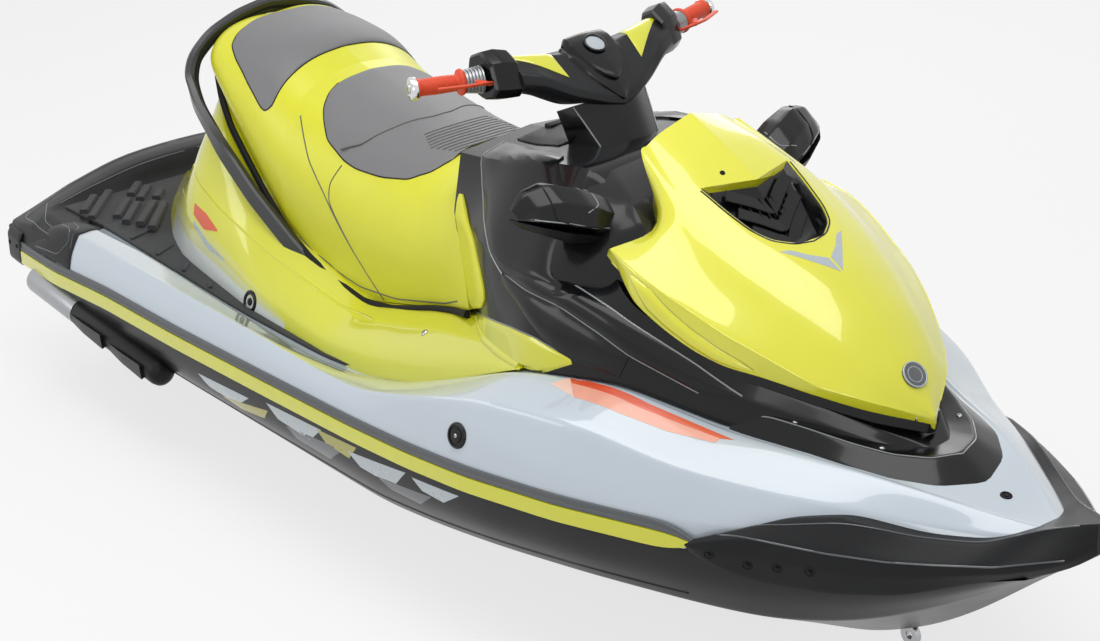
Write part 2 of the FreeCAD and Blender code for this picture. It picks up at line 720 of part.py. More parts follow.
BOW_EYE_X = 2850
BOW_EYE_Z = 104
STERN_EYE_X = 100
STERN_EYE_Y = 330
STERN_EYE_Z = 245
EYE_R = 24.0
eye = rod(at(BOW_EYE_X, -7, BOW_EYE_Z), at(BOW_EYE_X, 7, BOW_EYE_Z), EYE_R)
eye = eye.cut(rod(at(BOW_EYE_X, -10, BOW_EYE_Z), at(BOW_EYE_X, 10, BOW_EYE_Z), EYE_BORE_R))
bow_eye = eye.cut(hull)
eye_low = at(STERN_EYE_X, STERN_EYE_Y, STERN_EYE_Z - 5)
eye_high = at(STERN_EYE_X, STERN_EYE_Y, STERN_EYE_Z + 5)
stern_eye = rod(eye_low, eye_high, EYE_R)
stern_eye = stern_eye.fuse(block(
    (STERN_EYE_X, STERN_EYE_Y - EYE_R, STERN_EYE_Z - 5),
    (BOTTOM[0]["x"], STERN_EYE_Y + EYE_R, STERN_EYE_Z + 5)))
stern_eye = stern_eye.cut(rod(eye_low, eye_high, EYE_BORE_R))

pieces = {
    "hull": hull,
    "deck": deck,
    "stern_trim": stern_trim,
    "side_bands": side_bands,
    "side_rails": side_rails,
    "bow_bumper": bow_bumper,
    "pedestal": pedestal,
    "footwell_mats": footwell_mats,
    "platform_mat": platform_mat,
    "seat_front": seat_front,
    "seat_rear": seat_rear,
    "grab_rail": grab_rail,
    "cowl": cowl,
    "bow_garnish": bow_garnish,
    "hood": hood,
    "hood_hinge": hood_hinge,
    "scoop_grille": scoop_grille,
    "hood_badge": hood_badge,
    "column_cover": column_cover,
    "handlebar": handlebar,
    "bar_cover": bar_cover,
    "meter": meter,
    "grips": grips,
    "bar_ends": bar_ends,
    "collars": collars,
    "switch_pods": switch_pods,
    "levers": levers,
    "mirrors": pair(mirror_body),
    "pump_housing": pump_housing,
    "impeller": impeller,
    "steering_nozzle": nozzle,
    "reverse_bucket": reverse_bucket,
    "ride_plate": ride_plate,
    "intake_grate": intake_grate,
    "engine": engine,
    "sponsons": sponsons,
    "sponson_tails": sponson_tails,
    "bow_eye": bow_eye,
    "stern_eye": stern_eye,
}
os.makedirs("parts", exist_ok=True)
for node, shape in pieces.items():
    flat(shape).exportStep("parts/" + node + ".step")
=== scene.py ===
import math

import bpy
import numpy as np
from mathutils import Matrix, Vector
from mathutils.bvhtree import BVHTree


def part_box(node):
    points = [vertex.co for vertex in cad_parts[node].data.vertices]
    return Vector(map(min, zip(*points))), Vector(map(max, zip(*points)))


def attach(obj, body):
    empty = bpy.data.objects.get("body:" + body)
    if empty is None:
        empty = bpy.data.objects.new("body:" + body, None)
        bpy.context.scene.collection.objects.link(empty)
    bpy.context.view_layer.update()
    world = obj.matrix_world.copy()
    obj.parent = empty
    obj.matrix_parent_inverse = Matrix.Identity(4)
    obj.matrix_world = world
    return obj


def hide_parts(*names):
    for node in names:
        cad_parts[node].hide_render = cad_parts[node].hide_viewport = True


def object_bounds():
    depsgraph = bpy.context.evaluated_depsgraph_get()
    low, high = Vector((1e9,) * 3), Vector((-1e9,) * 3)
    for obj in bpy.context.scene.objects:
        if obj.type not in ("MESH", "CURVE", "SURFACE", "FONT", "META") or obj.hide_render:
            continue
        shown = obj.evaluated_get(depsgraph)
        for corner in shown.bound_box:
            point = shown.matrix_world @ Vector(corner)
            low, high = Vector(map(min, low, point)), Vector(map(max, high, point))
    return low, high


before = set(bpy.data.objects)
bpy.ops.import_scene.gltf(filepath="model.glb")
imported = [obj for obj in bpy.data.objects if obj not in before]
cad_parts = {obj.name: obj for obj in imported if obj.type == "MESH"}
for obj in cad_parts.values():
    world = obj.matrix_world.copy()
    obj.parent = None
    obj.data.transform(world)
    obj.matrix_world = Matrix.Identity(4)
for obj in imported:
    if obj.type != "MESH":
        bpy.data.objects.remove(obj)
cad_low, cad_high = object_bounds()

# The tables below give millimetres: x from the stern, y from the centre plane, z from the keel.
# at() turns them into metres of the frame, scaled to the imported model.
LENGTH = cad_high.x - cad_low.x
BEAM = cad_high.y - cad_low.y
HEIGHT = cad_high.z - cad_low.z
TABLE_LENGTH = 3350
TABLE_BEAM = 1220
TABLE_HEIGHT = 1190
SCALE = np.array([LENGTH / TABLE_LENGTH, BEAM / TABLE_BEAM, HEIGHT / TABLE_HEIGHT])
STERN = cad_low.x
MM = 1000.0       # millimetres in a metre
MERGE = 0.00005   # metres within which two vertices are one
EDGE = 3.0        # millimetres left flat beside a moulding's crisp edges
STEP = 14.0       # spacing of a skin's sections


def at(x, y, z):
    """Frame point of a table point."""
    return Vector((x * SCALE[0] + STERN, y * SCALE[1], z * SCALE[2]))


def place(point):
    """Table point of a frame point."""
    return ((point[0] - STERN) / SCALE[0], point[1] / SCALE[1], point[2] / SCALE[2])


def table(columns, rows):
    """Rows with named columns; the first column is x."""
    names = columns.split()
    return [dict(zip(names, row)) for row in rows]


def between(rows, column, x):
    """Value of a table's column at x, straight between its rows."""
    return float(np.interp(x, [r["x"] for r in rows], [r[column] for r in rows]))


# ---- finishes ----

def linear(colour):
    """sRGB hex to the shader's linear colour."""
    parts = [int(colour[i:i + 2], 16) / 255 for i in (1, 3, 5)]
    return [c / 12.92 if c <= 0.04045 else ((c + 0.055) / 1.055) ** 2.4 for c in parts] + [1.0]


def add(tree, kind, settings=(), **links):
    """One node: settings by property or socket name, links by socket name from an output."""
    node = tree.nodes.new("ShaderNode" + kind)
    for key, value in dict(settings).items():
        if isinstance(key, str) and hasattr(node, key):
            setattr(node, key, value)
        else:
            node.inputs[key].default_value = value
    for key, source in links.items():
        name = key.replace("_", " ")
        socket = node.inputs[int(name[2:])] if name.startswith("in") else node.inputs[name]
        tree.links.new(source, socket)
    return node


def finish(name, colour, rough, metal=0.0, coat=0.0, coat_rough=0.05, grain=0.0, grain_mm=1.0,
           wave_mm=60.0, tint=0.06, sheen=0.0, rough_spread=0.08, ior=1.5):
    """A procedural finish: base colour clouded over wave_mm, surface grain of grain_mm."""
    material = bpy.data.materials.new(name)
    material.use_nodes = True
    tree = material.node_tree
    shader = tree.nodes["Principled BSDF"]
    shader.inputs["Metallic"].default_value = metal
    shader.inputs["IOR"].default_value = ior
    shader.inputs["Coat Weight"].default_value = coat
    shader.inputs["Coat Roughness"].default_value = coat_rough
    shader.inputs["Sheen Weight"].default_value = sheen
    place = add(tree, "TexCoord").outputs["Object"]
    cloud = add(tree, "TexNoise", {"Scale": MM / wave_mm, "Detail": 4.0}, Vector=place)
    base = linear(colour)
    dark = [c * (1 - tint) for c in base[:3]] + [1.0]
    light = [min(1, c * (1 + tint)) for c in base[:3]] + [1.0]
    # a Mix node takes its share at socket 0 and colours at 6 and 7, and gives a colour at 2
    mix = add(tree, "Mix", {"data_type": "RGBA", 6: dark, 7: light})
    tree.links.new(cloud.outputs["Fac"], mix.inputs[0])
    tree.links.new(mix.outputs[2], shader.inputs["Base Color"])
    spread = add(tree, "MapRange", {"To Min": max(0.02, rough - rough_spread / 2),
                                    "To Max": rough + rough_spread / 2})
    tree.links.new(cloud.outputs["Fac"], spread.inputs["Value"])
    tree.links.new(spread.outputs["Result"], shader.inputs["Roughness"])
    if grain:
        fine = add(tree, "TexVoronoi", {"Scale": MM / grain_mm}, Vector=place)
        bump = add(tree, "Bump", {"Strength": grain, "Distance": grain_mm / MM},
                   Height=fine.outputs["Distance"])
        tree.links.new(bump.outputs["Normal"], shader.inputs["Normal"])
    return material


# Moulded, calendered and cast surfaces have a real grain of 0.2 to 0.8 mm. It is drawn at 0.8 to
# 2 mm here, as coarse as it needs to show on a craft of over three metres.
FINISHES = {
    # white-blue gelcoat under clear coat: smooth, with mirror-like highlights on a pale ground
    "ice": finish("ice_gelcoat", "#C6D1DB", 0.30, coat=1.0, coat_rough=0.04, tint=0.012,
                  wave_mm=420, rough_spread=0.02),
    # lime gelcoat: deep, wet gloss
    "lime": finish("lime_gelcoat", "#DBDB20", 0.30, coat=1.0, coat_rough=0.05, tint=0.03,
                   wave_mm=300, rough_spread=0.03),
    # hood paint: brighter yellow under clear coat
    "yellow": finish("yellow_paint", "#E9E72C", 0.30, coat=1.0, coat_rough=0.04, tint=0.02,
                     wave_mm=300, rough_spread=0.03),
    # gelcoat sprayed out in three steps, from white into the lime
    "fade_white": finish("white_gelcoat", "#DDE2DF", 0.28, coat=1.0, coat_rough=0.05, tint=0.015,
                         wave_mm=300, rough_spread=0.02),
    "fade_pale": finish("pale_lime_gelcoat", "#DCDCA0", 0.28, coat=1.0, coat_rough=0.05, tint=0.015,
                        wave_mm=300, rough_spread=0.02),
    "fade_lime": finish("light_lime_gelcoat", "#DCDB66", 0.28, coat=1.0, coat_rough=0.05, tint=0.015,
                        wave_mm=300, rough_spread=0.02),
    # The black mouldings' IOR is lowered from 1.5 to 1.3, so that they stay dark in a white room.
    # injection-moulded ABS from a polished mould: black with clear reflections
    "gloss": finish("gloss_black_abs", "#0F1012", 0.2, coat=0.2, coat_rough=0.06, tint=0.1, ior=1.3),
    # polypropylene from a textured mould: satin, with a fine leather-like grain
    "satin": finish("satin_black_polypropylene", "#141517", 0.4, grain=0.12, grain_mm=1.6,
                    ior=1.3),
    # handlebar cover and sponson flaps: finely textured, a shade lighter than the gloss parts
    "satin_dark": finish("charcoal_polypropylene", "#1B1C1E", 0.34, coat=0.1, coat_rough=0.3,
                         grain=0.06, grain_mm=1.2, ior=1.3),
    # hull below the joint, moulded sheet compound: black satin, even over its whole length
    "hull": finish("black_hull_compound", "#111214", 0.32, coat=0.12, coat_rough=0.2, tint=0.12,
                   ior=1.3),
    # moulded rubber of plugs, piping and gaps: matt black that sinks into shadow; it also paints the shade
    # in the gap under the seat covers
    "dark": finish("black_rubber", "#101113", 0.6, grain=0.1, grain_mm=1.2, ior=1.3),
    # glass-filled grab rail: a shade lighter than the mouldings round it
    "rail_black": finish("rail_polyamide", "#26272A", 0.36, coat=0.3, coat_rough=0.25, grain=0.06,
                         grain_mm=1.2),
    # extruded rubbing strip: mid grey and dull
    "rail": finish("grey_vinyl_extrusion", "#5B5E61", 0.5, grain=0.08, grain_mm=1.2),
    # closed-cell foam with a brushed face: dark, soft and without a highlight
    "mat": finish("eva_foam", "#2E2F32", 0.8, grain=0.5, grain_mm=1.8, sheen=0.1),
    # marine vinyl, calendered with a fine grain: the sides shine softly, the pads less
    "vinyl_lime": finish("lime_marine_vinyl", "#E3E22C", 0.36, grain=0.10, grain_mm=1.4,
                         coat=0.25, coat_rough=0.25, tint=0.03),
    "vinyl_grey": finish("grey_marine_vinyl", "#7B7B7D", 0.48, grain=0.22, grain_mm=1.6, tint=0.04),
    # folded vinyl at a stitched line: darker, matt
    "seam_grey": finish("stitched_fold", "#5C5C58", 0.6, tint=0.05),
    # grip rubber, moulded in colour: soft highlights along the ribs
    "grip": finish("orange_rubber", "#DC4A26", 0.5, grain=0.1, grain_mm=1.5),
    # plated bar ends: bright mirror
    "chrome": finish("chrome_plate", "#D9DADC", 0.08, metal=1.0, tint=0.02, rough_spread=0.04),
    # sandblasted silver anodising: pale and even
    "collar_silver": finish("silver_anodised", "#A9ABAE", 0.34, metal=0.75, grain=0.05, grain_mm=1.0),
    # stainless steel of eyes, hinge, handlebar, impeller and screws: bright, faintly brushed
    "steel": finish("stainless_steel", "#B4B5B7", 0.26, metal=1.0, grain=0.03, grain_mm=0.8),
    # sand-cast aluminium of the jet drive: grey with a coarse skin
    "cast": finish("cast_aluminium", "#9A9C9F", 0.45, metal=1.0, grain=0.25, grain_mm=2.0),
    # silvered glass of the mirrors
    "glass": finish("mirror_glass", "#AEB4BA", 0.04, metal=1.0, tint=0.01, rough_spread=0.02),
    # cut vinyl films under a clear layer: flat colours with a thin gloss
    "film_orange": finish("orange_vinyl_film", "#E2542B", 0.3, coat=0.6, tint=0.02),
    "film_pale": finish("pale_orange_film", "#F2A78F", 0.3, coat=0.6, tint=0.02),
    "film_white_edge": finish("white_orange_film", "#F7CDBB", 0.3, coat=0.6, tint=0.02),
    # the same olive also paints the shade along the top edge of the hood's fins
    "film_gold": finish("old_gold_film", "#A9A33A", 0.3, coat=0.6, tint=0.04),
    "film_silver": finish("silver_vinyl_film", "#B4BEC4", 0.28, coat=0.8, tint=0.03),
    # the same grey also paints highlights along the creases and edges of the bumper and the stern trim
    "grey_film_and_edge_highlight": finish("dark_grey_film", "#4A4D52", 0.3, coat=0.5, tint=0.02),
    # painted highlight: pale grey laid along the crests and creases of black mouldings, where the light
    # catches them
    "edge_grey": finish("polished_edge", "#8E9196", 0.25, coat=0.6, tint=0.03),
    # blank round badge: glossy graphite face
    "badge_dark": finish("graphite_badge", "#4C5054", 0.22, coat=0.8, tint=0.08),
}


# ---- making and placing pieces ----

def chosen(piece):
    """Makes the piece the only selected and active one."""
    bpy.ops.object.select_all(action="DESELECT")
    piece.select_set(True)
    bpy.context.view_layer.objects.active = piece


def edit(piece, *steps):
    """Runs edit-mode steps with the whole mesh selected."""
    chosen(piece)
    bpy.ops.object.mode_set(mode="EDIT")
    bpy.ops.mesh.select_all(action="SELECT")
    for step in steps:
        step()
    bpy.ops.object.mode_set(mode="OBJECT")


def apply(piece, kind, **settings):
    """Adds a modifier and applies it."""
    chosen(piece)
    modifier = piece.modifiers.new(kind.lower(), kind)
    for key, value in settings.items():
        setattr(modifier, key, value)
    bpy.ops.object.modifier_apply(modifier=modifier.name)
    return piece


def settle(piece, name, body, coat, replaced=(), angle=38):
    """Names a finished piece, freezes its place, gives it its finish and its body."""
    piece.name = piece.data.name = name
    chosen(piece)
    bpy.ops.object.transform_apply(location=True, rotation=True, scale=True)
    piece.data.materials.clear()
    piece.data.materials.append(FINISHES[coat])
    bpy.ops.object.shade_smooth_by_angle(angle=math.radians(angle))
    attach(piece, body)
    if replaced:
        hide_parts(*replaced)
    return piece


def joined(pieces):
    """Several meshes as one."""
    bpy.ops.object.select_all(action="DESELECT")
    for piece in pieces:
        piece.select_set(True)
    bpy.context.view_layer.objects.active = pieces[0]
    if len(pieces) > 1:
        bpy.ops.object.join()
    return pieces[0]


def mirrored(piece):
    """The piece and its twin on the other side."""
    return apply(piece, "MIRROR", use_axis=(False, True, False), use_mirror_merge=False)


def cut(piece, *cutters):
    """Takes the cutters out of the piece."""
    for cutter in cutters:
        apply(piece, "BOOLEAN", operation="DIFFERENCE", object=cutter, solver="EXACT")
        bpy.data.objects.remove(cutter)
    return piece


def box_between(low, high):
    """A box between two frame corners."""
    bpy.ops.mesh.primitive_cube_add(size=1, location=(low + high) / 2)
    box = bpy.context.object
    box.scale = high - low
    chosen(box)
    bpy.ops.object.transform_apply(location=True, rotation=True, scale=True)
    return box


def block(low, high):
    """A box between two table corners."""
    return box_between(at(*low), at(*high))


def run_of(points):
    """Length of a polyline up to each of its points."""
    return np.concatenate([[0], np.cumsum(np.linalg.norm(np.diff(points, axis=0), axis=1))])


def resampled(values, run, spots):
    """Triples given along a run, read between at the spots."""
    return np.stack([np.interp(spots, run, values[:, k]) for k in range(3)], axis=1)


def evenly(points, count):
    """count points evenly spaced along a polyline, and its length."""
    points = np.array(points, float)
    run = run_of(points)
    return resampled(points, run, np.linspace(0, run[-1], count)), run[-1]


def faired(points, passes):
    """Evens out a run of sections, its ends held."""
    for _ in range(passes):
        points[1:-1] = points[1:-1] * 0.5 + (points[:-2] + points[2:]) * 0.25
    return points


def woven(grid):
    """A grid primitive with its vertices laid on frame points, its long edges merged and its ends
    filled."""
    rows, count = grid.shape[:2]
    bpy.ops.mesh.primitive_grid_add(x_subdivisions=count - 1, y_subdivisions=rows - 1, size=1)
    piece = bpy.context.object
    piece.data.vertices.foreach_set("co", grid.reshape(-1))
    piece.data.update()
    edit(piece, lambda: bpy.ops.mesh.remove_doubles(threshold=MERGE),
         lambda: bpy.ops.mesh.select_all(action="DESELECT"),
         lambda: bpy.ops.mesh.select_non_manifold(extend=False),
         lambda: bpy.ops.mesh.fill_holes(sides=0),
         lambda: bpy.ops.mesh.select_all(action="SELECT"),
         lambda: bpy.ops.mesh.normals_make_consistent(inside=False))
    return piece


WIDEST_EDGE = 0.3   # most of a side that the flat beside a crisp edge may take


def skin(rows, columns, sharp="", half=False, fairing=30, softness=3, spans=5, step=STEP, edge=EDGE):
    """A closed moulding through the rows' named columns, from the port side's top round to its
    bottom and over to starboard. Columns in sharp keep a crisp edge. half leaves starboard out.
    fairing evens the moulding lengthwise, softness rounds its sections, and each side of a section
    has spans faces. A row may hold a column's own x."""
    names = columns.split()
    crisp = [n in sharp.split() for n in names]
    x = np.array([r["x"] for r in rows], float)
    ring = [[(r.get(n + "_x", r["x"]), r[n + "_y"], r[n + "_z"]) for n in names] for r in rows]
    ring = np.array(ring, float)
    if not half:
        ring = np.concatenate([ring, ring[:, ::-1] * [1, -1, 1]], axis=1)
        crisp = crisp + crisp[::-1]
    # sections every step, between the rows
    count = max(4, round((x[-1] - x[0]) / step))
    even = np.linspace(x[0], x[-1], count + 1)
    at_row = np.interp(even, x, np.arange(len(x)))
    low = np.minimum(at_row.astype(int), len(x) - 2)
    share = (at_row - low)[:, None, None]
    body = faired(ring[low] * (1 - share) + ring[low + 1] * share, fairing)
    # lines from end to end: each corner, the flats beside a crisp one, and the spans between
    lines, held = [], []
    for j, is_crisp in enumerate(crisp):
        after = (j + 1) % len(crisp)
        a, b = body[:, j], body[:, after]
        length = np.maximum(np.linalg.norm(b - a, axis=1), 0.01)[:, None]
        flat = np.minimum(edge / length, WIDEST_EDGE)
        lines.append(a)
        held.append(is_crisp)
        if is_crisp:
            lines.append(a + (b - a) * flat)
            held.append(True)
        for k in range(1, spans):
            lines.append(a + (b - a) * (k / spans * (1 - 2 * flat) + flat))
            held.append(False)
        if crisp[after]:
            lines.append(b + (a - b) * flat)
            held.append(True)
    grid = np.stack(lines, axis=1)
    # rounding: the lines that aren't held draw towards their neighbours, then crisp corners ease
    loose = np.where(held, 0.0, 1.0)[None, :, None]
    for _ in range(softness):
        middle = (np.roll(grid, 1, 1) + np.roll(grid, -1, 1)) / 2
        grid += (middle - grid) * loose * 0.5
    middle = (np.roll(grid, 1, 1) + np.roll(grid, -1, 1)) / 2
    grid = grid + (middle - grid) * np.where(held, 0.5, 0.0)[None, :, None]
    grid = np.concatenate([grid, grid[:, :1]], axis=1)
    return woven(grid * SCALE + [STERN, 0, 0])


def sweep(path, profile, normal, fairing=4, step=12.0):
    """A bar of constant section along a path of table points. profile holds (across, out) pairs,
    and normal is the outward direction, one for all or a list of them from end to end."""
    line = np.array([at(*point) for point in path]) * MM
    run = run_of(line)
    count = max(3, round(run[-1] / step))
    even = np.linspace(0, run[-1], count + 1)
    line = faired(resampled(line, run, even), fairing)
    tangent = np.gradient(line, axis=0)
    tangent /= np.linalg.norm(tangent, axis=1)[:, None]
    out = np.array(normal, float)
    if out.ndim == 1:
        out = np.tile(out, (2, 1))
    out = resampled(out, np.linspace(0, 1, len(out)), even / run[-1])
    out -= tangent * (out * tangent).sum(1)[:, None]
    out /= np.linalg.norm(out, axis=1)[:, None]
    across = np.cross(tangent, out)
    ring = [line + across * a + out * b for a, b in profile]
    grid = np.stack(ring + ring[:1], axis=1)
    return woven(grid / MM)


def oval(wide, high, count=12):
    """An oval section of two radii."""
    turns = [2 * math.pi * k / count for k in range(count)]
    return [(wide * math.cos(t), high * math.sin(t)) for t in turns]


def slab(wide, high, corner):
    """A rectangular section with cut corners."""
    a, b, c = wide / 2, high / 2, corner
    return [(a, b - c), (a - c, b), (c - a, b), (-a, b - c), (-a, c - b), (c - a, -b), (a - c, -b),
            (a, c - b)]


def surface(piece):
    """A piece's faces, to find points on them."""
    mesh = piece.data
    return BVHTree.FromPolygons([v.co[:] for v in mesh.vertices], [p.vertices[:] for p in mesh.polygons])


START_BACK = 0.08    # metres that a point is drawn back before it falls on a skin
REACH = 0.3          # metres that it falls at most


def landed(tree, point, toward):
    """Where a table point falls on a skin along toward, and the skin's normal there."""
    toward = Vector(toward).normalized()
    start = at(*point)
    hit, normal, _, _ = tree.ray_cast(start - toward * START_BACK, toward, REACH)
    if hit is None:
        hit, normal, _, _ = tree.find_nearest(start)
    if normal.dot(toward) > 0:
        normal = -normal
    return hit, normal


def patch(tree, first, second, toward, rise=0.7, sink=1.2, crown=0.0, across=6, step=12.0, power=6):
    """A closed sheet laid on a skin between two lines of table points, crowned like a pad.
    rise and sink are its faces' distances from the skin in millimetres, and a higher power
    keeps the crown flat further out."""
    longest = max(evenly(first, 2)[1], evenly(second, 2)[1])
    rows = max(4, round(longest / step) + 1)
    a, b = evenly(first, rows)[0], evenly(second, rows)[0]
    outer, inner = [], []
    for i in range(rows):
        along = i / (rows - 1)
        over, under = [], []
        for j in range(across + 1):
            share = j / across
            hit, normal = landed(tree, a[i] * (1 - share) + b[i] * share, toward)
            swell = (1 - abs(2 * share - 1) ** power) * (1 - abs(2 * along - 1) ** (power * 2))
            over.append(hit + normal * (rise + crown * swell) / MM)
            under.append(hit - normal * sink / MM)
        outer.append(over)
        inner.append(under[::-1])
    grid = np.concatenate([np.array(outer), np.array(inner), np.array(outer)[:, :1]], axis=1)
    return woven(grid)


def seam(tree, points, toward, radius=2.0, lift=0.0, fairing=3, step=8.0):
    """A thin cord laid on a skin: a seam, a bead or a shut line."""
    length = evenly(points, 2)[1]
    spots = evenly(points, max(4, round(length / step)))[0]
    landings = [landed(tree, spot, toward) for spot in spots]
    line = [place(hit + normal * lift / MM) for hit, normal in landings]
    return sweep(line, oval(radius, radius, 8), [list(n) for _, n in landings], fairing, step)


def lofted(rings, sharp=(), spans=4, softness=2, fairing=0, step=10.0, edge=2.0):
    """A closed body through rings of frame points, rounded but for the sharp corners."""
    rings = np.array([[list(p) for p in ring] for ring in rings]) * MM
    rows = [{"x": along} for along in run_of(rings.mean(axis=1))]
    names = ["c%d" % k for k in range(rings.shape[1])]
    for row, ring in zip(rows, rings):
        for name, p in zip(names, ring):
            row[name + "_x"], row[name + "_y"], row[name + "_z"] = place(p / MM)
    crisp = " ".join(names[k] for k in sharp)
    return skin(rows, " ".join(names), crisp, True, fairing, softness, spans, step, edge)


def turned(start, end, steps, count=28):
    """A round body between two frame points; steps hold (millimetres from start, radius)."""
    start, end = Vector(start), Vector(end)
    axis = (end - start).normalized()
    side = axis.orthogonal().normalized()
    other = axis.cross(side)
    turns = [2 * math.pi * k / count for k in range(count)] + [0]
    grid = []
    for along, radius in steps:
        grid.append([start + (axis * along + (side * math.cos(t) + other * math.sin(t)) * radius) / MM
                     for t in turns])
    return woven(np.array([[list(p) for p in row] for row in grid]))


def ring_at(centre, facing, radius, thick, count=48):
    """A round bezel."""
    bpy.ops.mesh.primitive_torus_add(
        major_radius=radius / MM, minor_radius=thick / MM, major_segments=count, minor_segments=10,
        location=centre, rotation=Vector(facing).to_track_quat("Z", "Y").to_euler())
    piece = bpy.context.object
    chosen(piece)
    bpy.ops.object.transform_apply(location=True, rotation=True, scale=True)
    return piece


def screw(tree, point, toward, radius=7.0, high=3.0):
    """A button-head screw standing on a skin, with its socket."""
    hit, normal = landed(tree, point, toward)
    sunk = 2
    top = hit + normal * high / MM
    return turned(hit - normal * sunk / MM, top, [
        (0, radius), (sunk + high * 0.4, radius), (sunk + high * 0.8, radius * 0.85),
        (sunk + high, radius * 0.6), (sunk + high, radius * 0.45), (high * 0.6 + 1, radius * 0.4)], 20)


def screw_at(centre, normal, radius, high):
    """A round head with a socket, standing on centre."""
    return turned(centre, centre + normal, [
        (0, radius), (high * 0.7, radius), (high, radius * 0.7), (high, radius * 0.45),
        (high * 0.5, radius * 0.4)], 20)


def softened(node, body, coat, width, angle=30):
    """A new piece with a node's flats and its edges eased by width millimetres."""
    chosen(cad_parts[node])
    bpy.ops.object.duplicate()
    piece = bpy.context.object
    edit(piece, lambda: bpy.ops.mesh.remove_doubles(threshold=MERGE),
         lambda: bpy.ops.mesh.dissolve_limited(angle_limit=math.radians(1)))
    if width:
        apply(piece, "BEVEL", width=width / MM, segments=3, limit_method="ANGLE",
              angle_limit=math.radians(angle))
    return settle(piece, node + "_eased", body, coat, [node])


def to_starboard(points):
    """A run that ends on the centre plane, carried on round to starboard."""
    return points + [(x, -y, z) for x, y, z in points[-2::-1]]


# directions in which points of the port side fall on a skin
DOWN = (0, 0, -1)
INBOARD = (0, -1, 0)


# ---- hull ----
# half breadth and height of the joint between hull and deck
PLAN = table("x beam_y joint_z", [
    (0, 530, 302), (130, 550, 310), (330, 576, 322), (600, 588, 339), (950, 601, 343),
    (1300, 606, 348), (1500, 608, 351), (1700, 610, 354), (1900, 606, 358), (2100, 595, 366),
    (2350, 551, 374), (2600, 472, 378), (2760, 404, 382), (2930, 329, 388), (3060, 262, 398),
    (3170, 186, 412), (3250, 118, 424),
])
HULL = table("x joint_y joint_z flank_y flank_z chine_y chine_z strake_y strake_z pad_y pad_z", [
    (130, 536, 310, 528, 240, 465, 178, 330, 98, 150, 0),
    (330, 562, 322, 550, 250, 478, 186, 330, 100, 150, 0),
    (600, 574, 339, 562, 258, 490, 190, 330, 99, 150, 0),
    (950, 587, 343, 578, 262, 508, 190, 330, 97, 130, 0),
    (1300, 592, 348, 582, 260, 516, 185, 320, 93, 110, 0),
    (1700, 596, 354, 586, 260, 520, 174, 315, 86, 100, 0),
    (1900, 592, 358, 582, 268, 516, 188, 308, 94, 90, 0),
    (2100, 581, 366, 568, 280, 504, 206, 290, 105, 75, 4),
    (2350, 537, 374, 518, 290, 462, 221, 262, 120, 60, 18),
    (2600, 458, 378, 434, 296, 385, 223, 212, 138, 42, 50),
    (2760, 390, 382, 366, 298, 312, 218, 172, 152, 30, 82),
    (2930, 315, 388, 284, 312, 222, 248, 120, 206, 20, 162),
    (3060, 248, 398, 214, 344, 152, 306, 82, 278, 12, 250),
    (3170, 172, 412, 146, 386, 92, 368, 50, 356, 8, 345),
    (3250, 104, 424, 84, 420, 50, 416, 28, 412, 6, 408),
])
# the intake's mouth: half breadth and height where it opens from the tunnel
MOUTH_HALF = 75
MOUTH_HIGH = 228
# the rest are metres of the frame
BELOW = -0.02            # a cutter's foot stands this far under the keel
TUNNEL_PAST_PLATE = 0.3  # the tunnel's cutter runs out this far behind the ride plate
MOUTH_LIP = 0.001        # height of the mouth's front edge over the keel
MOUTH_INSET = 0.006      # the mouth ends this far short of its grate's front
MOUTH_OVERLAP = 0.002    # its cutter enters the tunnel this far


def make_hull():
    hull = skin(HULL, "joint flank chine strake pad", "joint chine pad", spans=4)
    pump_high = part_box("pump_housing")[1]
    plate_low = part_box("ride_plate")[0]
    grate_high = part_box("intake_grate")[1]
    cut(hull, box_between(Vector((plate_low.x - TUNNEL_PAST_PLATE, plate_low.y, BELOW)), pump_high))
    # the intake's mouth slopes from the tunnel's roof down to the keel
    mouth = block((0, -MOUTH_HALF, 0), (100, MOUTH_HALF, MOUTH_HIGH))
    middle = at(50, 0, MOUTH_HIGH / 2)
    for v in mouth.data.vertices:
        front = v.co.x > middle.x
        v.co.x = grate_high.x - MOUTH_INSET if front else pump_high.x - MOUTH_OVERLAP
        if v.co.z < middle.z:
            v.co.z = BELOW
        elif front:
            v.co.z = MOUTH_LIP
    cut(hull, mouth)
    return settle(hull, "hull_skin", "craft", "hull", ["hull"])


hull_face = surface(make_hull())

# ---- the coloured band and the rubbing strip along the joint, and their stern corner guards ----
# corners of each section from the foot up: height over the joint, inset from the plan's breadth
LIME_SECTION = [("a", 0, 8), ("b", 1, 0), ("c", 37, 0), ("d", 38, 8)]
STRIP_SECTION = [("a", 38, 8), ("b", 39, 1.5), ("c", 47, 1), ("d", 49, 3.5), ("e", 61, 2), ("f", 62, 8)]
# the guard's section likewise; its two lowest corners also rise as the guard is drawn in
GUARD_SECTION = [("a", -6, 26), ("b", -6, 3), ("c", 6, -2), ("d", 66, -2), ("e", 84, 8), ("f", 86, 30)]
GUARD_INSETS = [(3, 6), (14, 1), (60, 0), (96, 0), (103, 3)]
# x and share of its full height at which a band starts, and where it thins out at the bow
BAND_STERN = [(98, 1)]
BAND_BOW = [(2625, 0.9), (2672, 0.08)]
BAND_RISE = 20    # height gained by a band's foot where it has thinned to nothing


def band_rows(section):
    """A band's table: its section set along the plan and thinned out towards the bow."""
    along = [(r["x"], 1) for r in PLAN if BAND_STERN[0][0] < r["x"] <= 2600]
    rows = []
    for x, share in BAND_STERN + along + BAND_BOW:
        y = between(PLAN, "beam_y", x)
        z = between(PLAN, "joint_z", x) + BAND_RISE * (1 - share)
        row = {"x": x}
        for corner, height, inset in section:
            row[corner + "_y"] = y - inset
            row[corner + "_z"] = z + height * share
        rows.append(row)
    return rows


